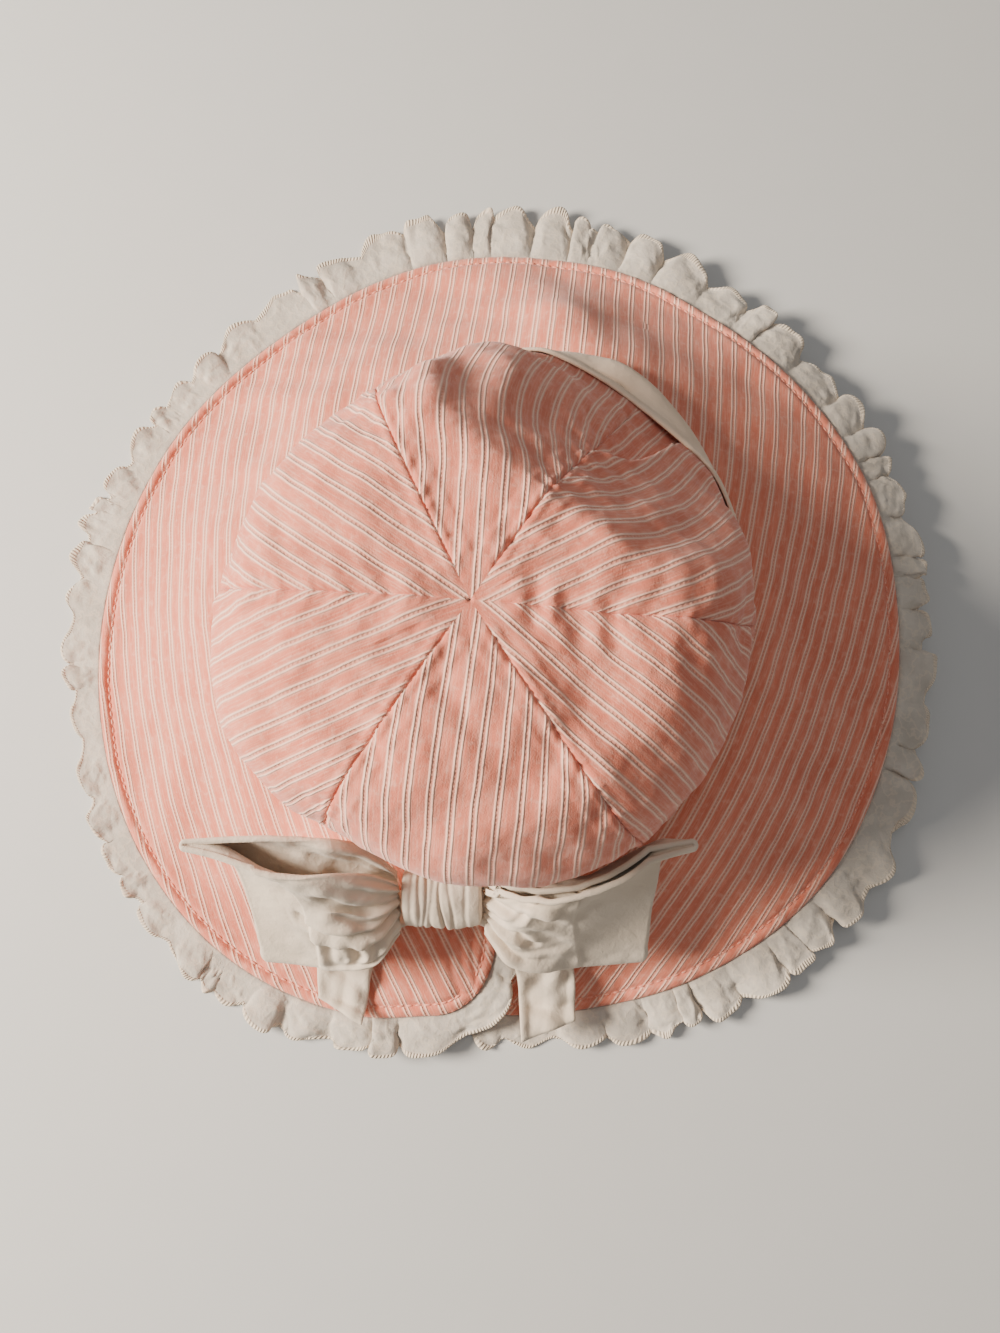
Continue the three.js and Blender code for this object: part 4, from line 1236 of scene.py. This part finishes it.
def loop_back(side, turn, opened, along, w):
    """The back layer, which stands off the front one and most of all where the loop is open."""
    near = np.clip((along - LOOP_START) / LOOP_SPAN, 0, 1)
    gap = LAYER_GAP + RIBBON_WALL + opened * np.sin(math.pi * near**0.8) * (1 - 0.55 * w)
    p = loop_front(side, turn, along, w) + stacked(0, gap * 0.86, -gap * 0.5 * w)
    return clear_of(p, LAYER_HEIGHT)


def loop_middle(side, turn, opened, layer, fold, w):
    """The loop's ribbon: the front layer, the far fold and the back layer, as one grid."""
    start = KNOT_LENGTH / 2 / LOOP_LENGTH + CLEAR / LOOP_LENGTH + 0.008
    go = mix(start, 1, np.linspace(0, 1, layer + 1))[:, None] + np.zeros_like(w)
    wide = w + np.zeros_like(go)
    front = loop_front(side, turn, go, wide)
    back = loop_back(side, turn, opened, go, wide)
    a = front[-1]
    b = back[-1]
    half = (a - b) / 2
    angle = math.pi * np.arange(1, fold)[:, None, None] / fold
    bend = a - half + half * np.cos(angle)
    bend[..., 0] += side * np.linalg.norm(half, axis=-1) * np.sin(angle[..., 0])
    bend = clear_of(bend, LAYER_HEIGHT)
    return np.concatenate([front, bend, back[::-1]])


def gathers(near, w, seed, count):
    """Folds that fan out from the knot and fade along the ribbon."""
    fan = np.sin(2 * math.pi * count * w + 1.4 * np.sin(3 * w + seed) + seed)
    small = np.sin(2 * math.pi * count * 2.3 * w + seed * 1.7 + 4 * near)
    return (1.3 * fan + 0.45 * small) * bump(near, 0.1, 0.32)


# Creases of each loop's front: lines by distance from the knot and down the ribbon, width, depth
LOOP_CREASES = {
    "bow_loop_left": (
        (((44.0, 34.0), (32.0, 36.0), (20.0, 34.5), (12.5, 33.0)), 1.8, 2.3),
        (((26.0, 39.0), (24.0, 47.0), (26.0, 54.0)), 1.5, 1.3),
        (((20.0, 38.0), (18.5, 46.0), (19.0, 53.0)), 1.3, 1.2),
        (((33.0, 38.0), (34.0, 47.0), (33.0, 54.0)), 1.8, 0.9),
        (((12.5, 14.0), (20.0, 10.0), (31.0, 6.0)), 2.2, 1.4),
        (((12.5, 22.0), (21.0, 21.0), (34.0, 15.0)), 2.2, 1.2),
        (((12.5, 28.0), (22.0, 28.0), (30.0, 25.0)), 1.8, 0.9),
    ),
    "bow_loop_right": (
        (((12.5, 20.0), (20.0, 22.0), (29.0, 29.0), (34.0, 31.0)), 1.9, 1.9),
        (((25.0, 2.0), (30.0, 9.0), (37.0, 12.0)), 2.0, 1.6),
        (((14.0, 36.0), (21.0, 34.0), (26.0, 40.0)), 1.5, 1.9),
        (((12.5, 42.0), (24.0, 50.0), (38.0, 52.0)), 2.2, 1.4),
        (((13.0, 8.0), (18.0, 12.0), (24.0, 12.0)), 1.7, 1.4),
        (((36.0, 22.0), (42.0, 17.0), (49.0, 18.0)), 2.4, 0.8),
        (((17.0, 28.0), (22.0, 26.0), (24.0, 20.0)), 1.3, 1.0),
    ),
}

# Where the gathered part lies over the smooth part of a loop, and how high
LOOP_STEPS = {
    "bow_loop_left": (((50.0, 2.0), (46.0, 14.0), (41.0, 28.0), (39.0, 42.0), (40.0, 56.0)), 1.7),
    "bow_loop_right": (((38.0, 0.0), (42.0, 16.0), (40.0, 34.0), (44.0, 56.0)), 0.7),
}


def loop_creases(name, along, down):
    """Creases of the gathered part, and its edge where it bulges over the smooth part."""
    line, high = LOOP_STEPS[name]
    gap, _, side = line_gap(along, down, line)
    signed = gap * side
    bulge = high * ramp(signed, -0.5, 1.3) * np.exp(-((np.maximum(signed, 0) / 15) ** 2))
    return creased(along, down, LOOP_CREASES[name]) + bulge


def build_loop(name, side, opened, turn, seed, material):
    layer = 110
    fold = 14
    rows = np.linspace(0.028, 0.972, 64)
    w = np.concatenate([[0, 0.004, 0.01, 0.018], rows, [0.982, 0.99, 0.996, 1]])[None, :]
    middle = loop_middle(side, turn, opened, layer, fold, w)
    out = normals(middle)
    count = middle.shape[0]
    step = np.arange(count)[:, None]
    near = np.minimum(step, count - 1 - step) / layer + np.zeros_like(w)
    front = ramp(step, layer + fold, layer) + np.zeros_like(w)
    places = (middle[..., 0], middle[..., 1], middle[..., 2])
    relief = gathers(near, w, seed, 4.5) * mix(0.9, 0.45, front)
    far = mix(KNOT_LENGTH / 2, LOOP_LENGTH, near)
    down = w * RIBBON_WIDTH + np.zeros_like(near)
    relief = relief + loop_creases(name, far, down) * front
    relief = relief + 0.6 * waves(seed + 3, places, 24) * ramp(near, 0, 0.3)
    relief = relief + 0.35 * waves(seed + 4, places, 8) * ramp(near, 0.9, 0.3)
    edge = np.minimum(w, 1 - w) * RIBBON_WIDTH + np.zeros_like(near)
    relief = relief * mix(0.35, 1, ramp(edge, 0, 5))
    hem = 0.42 * bump(edge, 1.3, 1.0) - 0.14 * bump(edge, 3.0, 0.5)
    surface = middle - side * out * relief[..., None]
    wall = rounded(edge, 1.0) + 2 * hem * ramp(edge, 0, 0.8)
    uv = stacked(down, run_length(middle, 0)[:, 30:31])
    piece = walled(name + "_cloth", surface, out, wall, uv, material)
    finished(piece, "white_cotton", name)


# Folds round the knot: share along it, width as a share, depth
KNOT_FOLDS = (
    (0.12, 0.03, 0.6),
    (0.22, 0.025, 0.9),
    (0.31, 0.022, 1.4),
    (0.4, 0.03, 1.1),
    (0.52, 0.02, 1.3),
    (0.62, 0.025, 0.5),
    (0.78, 0.03, 0.4),
)


def build_knot(material):
    steps = 90
    sides = 72
    s = np.linspace(0, 1, steps + 1)[:, None]
    turn = (2 * math.pi * np.arange(sides) / sides)[None, :]
    shoulder = np.minimum(1, 0.86 + 0.28 * np.sin(math.pi * s))
    round_end = np.sqrt(np.clip(1 - (1 - np.clip(np.minimum(s, 1 - s) / 0.05, 0, 1)) ** 2, 0, 1))
    close = mix(0.25, 1, round_end)
    lines = 0
    for at, width, deep in KNOT_FOLDS:
        sway = at + 0.03 * np.sin(turn + 7 * at) + 0.02 * np.sin(2 * turn + 17 * at)
        lines = lines - deep * bump(s, sway, width) * (0.65 + 0.35 * np.sin(turn + at * 9))
    soft = 0.25 * waves(91, (s * KNOT_LENGTH, np.cos(turn) * 7, np.sin(turn) * 5), 7.0)
    crease = 0.15 + lines + soft
    tall = (KNOT_TALL / 2 * shoulder + crease) * close * np.cos(turn)
    thick = (KNOT_THICK / 2 * shoulder + crease) * close * np.sin(turn)
    lean = math.radians(KNOT_LEAN)
    out = -tall * math.sin(lean) + thick * math.cos(lean)
    up = tall * math.cos(lean) + thick * math.sin(lean)
    points = from_knot((s - 0.5) * KNOT_LENGTH, out, up)
    ends = [points[0].mean(axis=0), points[-1].mean(axis=0)]
    points = np.concatenate([points.reshape(-1, 3), ends])
    uv = stacked(s * KNOT_LENGTH, turn * 7)
    uv = np.concatenate([uv.reshape(-1, 2), [[0, 0], [KNOT_LENGTH, 0]]])
    pairs = np.arange(0, sides, 2)
    beside = pairs + 1
    beyond = (pairs + 2) % sides
    last = steps * sides
    middle = last + sides
    first_cap = stacked(middle, beyond, beside, pairs)
    last_cap = stacked(middle + 1, last + pairs, last + beside, last + beyond)
    quads = np.concatenate([tube_quads(steps, sides), first_cap, last_cap])
    piece = mesh_from("bow_knot_cloth", points, [(quads, quads)], uv, material)
    finished(piece, "white_cotton", "bow_knot")


def build_tail(name, seed, material):
    rows = TAIL_ROWS[name]
    across = curve_through(rows, 1)
    out = curve_through(rows, 2)
    width = curve_through(rows, 3)
    s = np.linspace(0, 1, 71)[:, None]
    q = np.concatenate([[0, 0.02, 0.05], np.linspace(0.09, 0.91, 26), [0.95, 0.98, 1]])[None, :]
    cx = across(s) * LOOP_LENGTH
    cy = out(s) * RIBBON_WIDTH
    late = np.minimum(s + 0.05, 1)
    early = np.maximum(s - 0.05, 0)
    ahead_x = (across(late) - across(early)) * LOOP_LENGTH
    ahead_y = -(out(late) - out(early)) * RIBBON_WIDTH
    size = np.hypot(ahead_x, ahead_y)
    slant = (q - 0.5) * (0.35 if seed % 2 else -0.3)
    stretch = mix(0, slant, ramp(s, 0.55, 1)) * TAIL_WIDTH
    aside = (q - 0.5) * TAIL_WIDTH * width(s)
    x = KNOT[0] + cx - ahead_y / size * aside + ahead_x / size * stretch
    y = KNOT[1] - cy + ahead_x / size * aside + ahead_y / size * stretch
    under = support(x, y) + LAID_CLEAR
    folds = 0.9 * np.maximum(np.sin(2 * math.pi * q * 1.5 + seed + 2.5 * s), -0.4) * mix(1, 0.6, s)
    crumple = 0.6 * (1 + waves(seed + 5, (x, y, 0), 8))
    z = under + 0.5 + (0.5 + folds) * ramp(s, 0, 0.2) + crumple * ramp(s, 0.1, 0.5)
    edge = np.minimum(np.minimum(q, 1 - q) * TAIL_WIDTH, np.minimum(s * 60 + 2, (1 - s) * 40))
    wall = rounded(edge, 0.9) + 0.4 * bump(edge, 1.3, 0.8)
    uv = stacked(q * TAIL_WIDTH, s * 40)
    middle = stacked(x, y, z)
    if normals(middle)[..., 2].mean() < 0:
        middle = middle[:, ::-1]
        uv = uv[:, ::-1]
        wall = wall[:, ::-1]
    piece = laid_cloth(name + "_cloth", middle, wall, uv, material)
    finished(piece, "white_cotton", name)


# Floor, lights and camera


# The camera's lens and sensor in millimetres, its place in metres and its tilt from straight down
LENS = 27.03
SENSOR = 36
EYE = (0.00309, -0.09009, 0.3399)
TILT = 11
# Half the floor's width in metres
FLOOR_REACH = 4.0


def add_floor(settings):
    mesh = bpy.data.meshes.new("floor")
    corners = [(x * FLOOR_REACH, y * FLOOR_REACH, 0) for x, y in ((-1, -1), (1, -1), (1, 1), (-1, 1))]
    mesh.from_pydata(corners, [], [(0, 1, 2, 3)])
    mesh.materials.append(pale_floor(settings))
    floor = bpy.data.objects.new("floor", mesh)
    bpy.context.scene.collection.objects.link(floor)


def add_area_light(name, place, target, size, power, colour):
    light = bpy.data.lights.new(name, "AREA")
    light.shape = "DISK"
    light.size = size
    light.energy = power
    light.color = colour
    lamp = bpy.data.objects.new(name, light)
    bpy.context.scene.collection.objects.link(lamp)
    lamp.location = place
    way = np.array(target) - np.array(place)
    flat = math.hypot(way[0], way[1])
    lamp.rotation_euler = (math.atan2(flat, -way[2]), 0, math.atan2(-way[0], way[1]))


def add_lights(settings):
    key = settings.key_power
    add_area_light("key_light", (-0.92, -0.03, 0.56), (0, 0, 0.04), 0.42, key, (1.0, 0.91, 0.79))
    add_area_light("top_light", (0.1, 0.1, 1.2), (0, 0, 0), 0.9, key * 0.06, (1.0, 0.98, 0.95))
    world = bpy.data.worlds.new("soft_light")
    world.use_nodes = True
    background = world.node_tree.nodes["Background"]
    background.inputs["Color"].default_value = (0.98, 1.0, 1.03, 1.0)
    background.inputs["Strength"].default_value = settings.fill
    bpy.context.scene.world = world


def add_camera():
    camera = bpy.data.cameras.new("camera")
    camera.sensor_width = SENSOR
    camera.lens = LENS
    camera.clip_start = 0.01
    eye = bpy.data.objects.new("camera", camera)
    bpy.context.scene.collection.objects.link(eye)
    eye.location = EYE
    eye.rotation_euler = (math.radians(TILT), 0, 0)
    bpy.context.scene.camera = eye


# Settings that a user would change


class BonnetClothSettings(bpy.types.PropertyGroup):
    """Sizes and colours of the bonnet's cloth"""

    stripe_pitch: bpy.props.FloatProperty(
        name="Stripe pitch",
        description="From one pair of lines to the next, in millimetres",
        default=5.5,
        min=2,
        max=12,
    )
    stripe_pair: bpy.props.FloatProperty(
        name="Pair width",
        description="Between the two lines of a pair, in millimetres",
        default=1.35,
        min=0.5,
        max=4,
    )
    stripe_width: bpy.props.FloatProperty(
        name="Line width",
        description="Width of one raised line, in millimetres",
        default=0.56,
        min=0.2,
        max=2,
    )
    stitch_length: bpy.props.FloatProperty(
        name="Stitch length",
        description="Length of a topstitch, in millimetres",
        default=2.3,
        min=1,
        max=5,
    )
    wrinkle: bpy.props.FloatProperty(
        name="Wrinkles",
        description="Depth of the soft creases in the striped cloth",
        default=1.0,
        min=0,
        max=3,
    )
    pucker: bpy.props.FloatProperty(
        name="Puckers",
        description="Depth of the puckers beside the seams, in millimetres",
        default=0.32,
        min=0,
        max=1,
    )
    pink: bpy.props.FloatVectorProperty(
        name="Salmon",
        description="Ground colour of the striped cloth",
        subtype="COLOR",
        default=(0.77, 0.235, 0.148),
    )
    cream: bpy.props.FloatVectorProperty(
        name="Cream",
        description="Colour of the raised lines",
        subtype="COLOR",
        default=(0.97, 0.63, 0.48),
    )
    white: bpy.props.FloatVectorProperty(
        name="White",
        description="Colour of the ruffle, band and bow",
        subtype="COLOR",
        default=(0.81, 0.665, 0.505),
    )


class BonnetStageSettings(bpy.types.PropertyGroup):
    """Light and floor"""

    key_power: bpy.props.FloatProperty(
        name="Key light",
        description="Power of the light from the left",
        default=36.0,
        min=0,
        max=100,
        unit="POWER",
    )
    fill: bpy.props.FloatProperty(
        name="Fill",
        description="Strength of the light from all round",
        default=0.2,
        min=0,
        max=3,
    )
    floor: bpy.props.FloatVectorProperty(
        name="Floor",
        description="Colour of the floor",
        subtype="COLOR",
        default=(0.62, 0.61, 0.59),
    )


# Operators


class BONNET_OT_crown(bpy.types.Operator):
    """Sews the six striped panels of the crown"""

    bl_idname = "bonnet.crown"
    bl_label = "Crown"

    def execute(self, context):
        settings = context.scene.bonnet_cloth
        material = striped_cotton(settings)
        for k in range(len(SEAMS)):
            build_panel(k, settings, material)
        return {"FINISHED"}


class BONNET_OT_band(bpy.types.Operator):
    """Wraps the white band round the foot of the crown"""

    bl_idname = "bonnet.band"
    bl_label = "Hat band"

    def execute(self, context):
        settings = context.scene.bonnet_cloth
        build_band(white_cotton(settings, "band_cotton", (1.04, 0.97, 0.96)))
        return {"FINISHED"}


class BONNET_OT_brim(bpy.types.Operator):
    """Lays out the striped brim and topstitches its hem"""

    bl_idname = "bonnet.brim"
    bl_label = "Brim"

    def execute(self, context):
        settings = context.scene.bonnet_cloth
        piece, line, run = build_brim(settings, striped_cotton(settings))
        stitches = build_stitches(line, run, settings, sewing_thread(settings))
        return {"FINISHED"}


class BONNET_OT_ruffle(bpy.types.Operator):
    """Gathers the white ruffle round the hem"""

    bl_idname = "bonnet.ruffle"
    bl_label = "Ruffle"

    def execute(self, context):
        settings = context.scene.bonnet_cloth
        piece = build_ruffle(ruffle_cotton(settings))
        return {"FINISHED"}


class BONNET_OT_bow(bpy.types.Operator):
    """Ties the bow: knot, two loops and two tails"""

    bl_idname = "bonnet.bow"
    bl_label = "Bow"

    def execute(self, context):
        settings = context.scene.bonnet_cloth
        material = white_cotton(settings, "bow_cotton", (0.84, 0.86, 0.9))
        build_knot(material)
        build_loop("bow_loop_left", -1, 9, 0.4, 3, material)
        build_loop("bow_loop_right", 1, 3, 2.1, 8, material)
        build_tail("bow_tail_left", 5, material)
        build_tail("bow_tail_right", 6, material)
        return {"FINISHED"}


class BONNET_OT_stage(bpy.types.Operator):
    """Adds the floor, the lights and the camera"""

    bl_idname = "bonnet.stage"
    bl_label = "Floor, lights and camera"

    def execute(self, context):
        settings = context.scene.bonnet_stage
        add_floor(settings)
        add_lights(settings)
        add_camera()
        return {"FINISHED"}


class BONNET_PT_panel(bpy.types.Panel):
    """Lists the bonnet's pieces in the sidebar"""

    bl_idname = "BONNET_PT_panel"
    bl_label = "Sun bonnet"
    bl_space_type = "VIEW_3D"
    bl_region_type = "UI"
    bl_category = "Bonnet"

    def draw(self, context):
        for operator in OPERATORS:
            self.layout.operator(operator.bl_idname)
        for group in (context.scene.bonnet_cloth, context.scene.bonnet_stage):
            for name in group.__annotations__:
                self.layout.prop(group, name)


OPERATORS = (
    BONNET_OT_crown,
    BONNET_OT_band,
    BONNET_OT_brim,
    BONNET_OT_ruffle,
    BONNET_OT_bow,
    BONNET_OT_stage,
)
CLASSES = (BonnetClothSettings, BonnetStageSettings) + OPERATORS + (BONNET_PT_panel,)


def register():
    for item in CLASSES:
        bpy.utils.register_class(item)
    bpy.types.Scene.bonnet_cloth = bpy.props.PointerProperty(type=BonnetClothSettings)
    bpy.types.Scene.bonnet_stage = bpy.props.PointerProperty(type=BonnetStageSettings)


def unregister():
    del bpy.types.Scene.bonnet_stage
    del bpy.types.Scene.bonnet_cloth
    for item in reversed(CLASSES):
        bpy.utils.unregister_class(item)


def main():
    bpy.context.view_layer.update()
    register()
    bpy.ops.bonnet.crown()
    bpy.ops.bonnet.band()
    bpy.ops.bonnet.brim()
    bpy.ops.bonnet.ruffle()
    bpy.ops.bonnet.bow()
    bpy.ops.bonnet.stage()


if __name__ == "__main__":
    main()
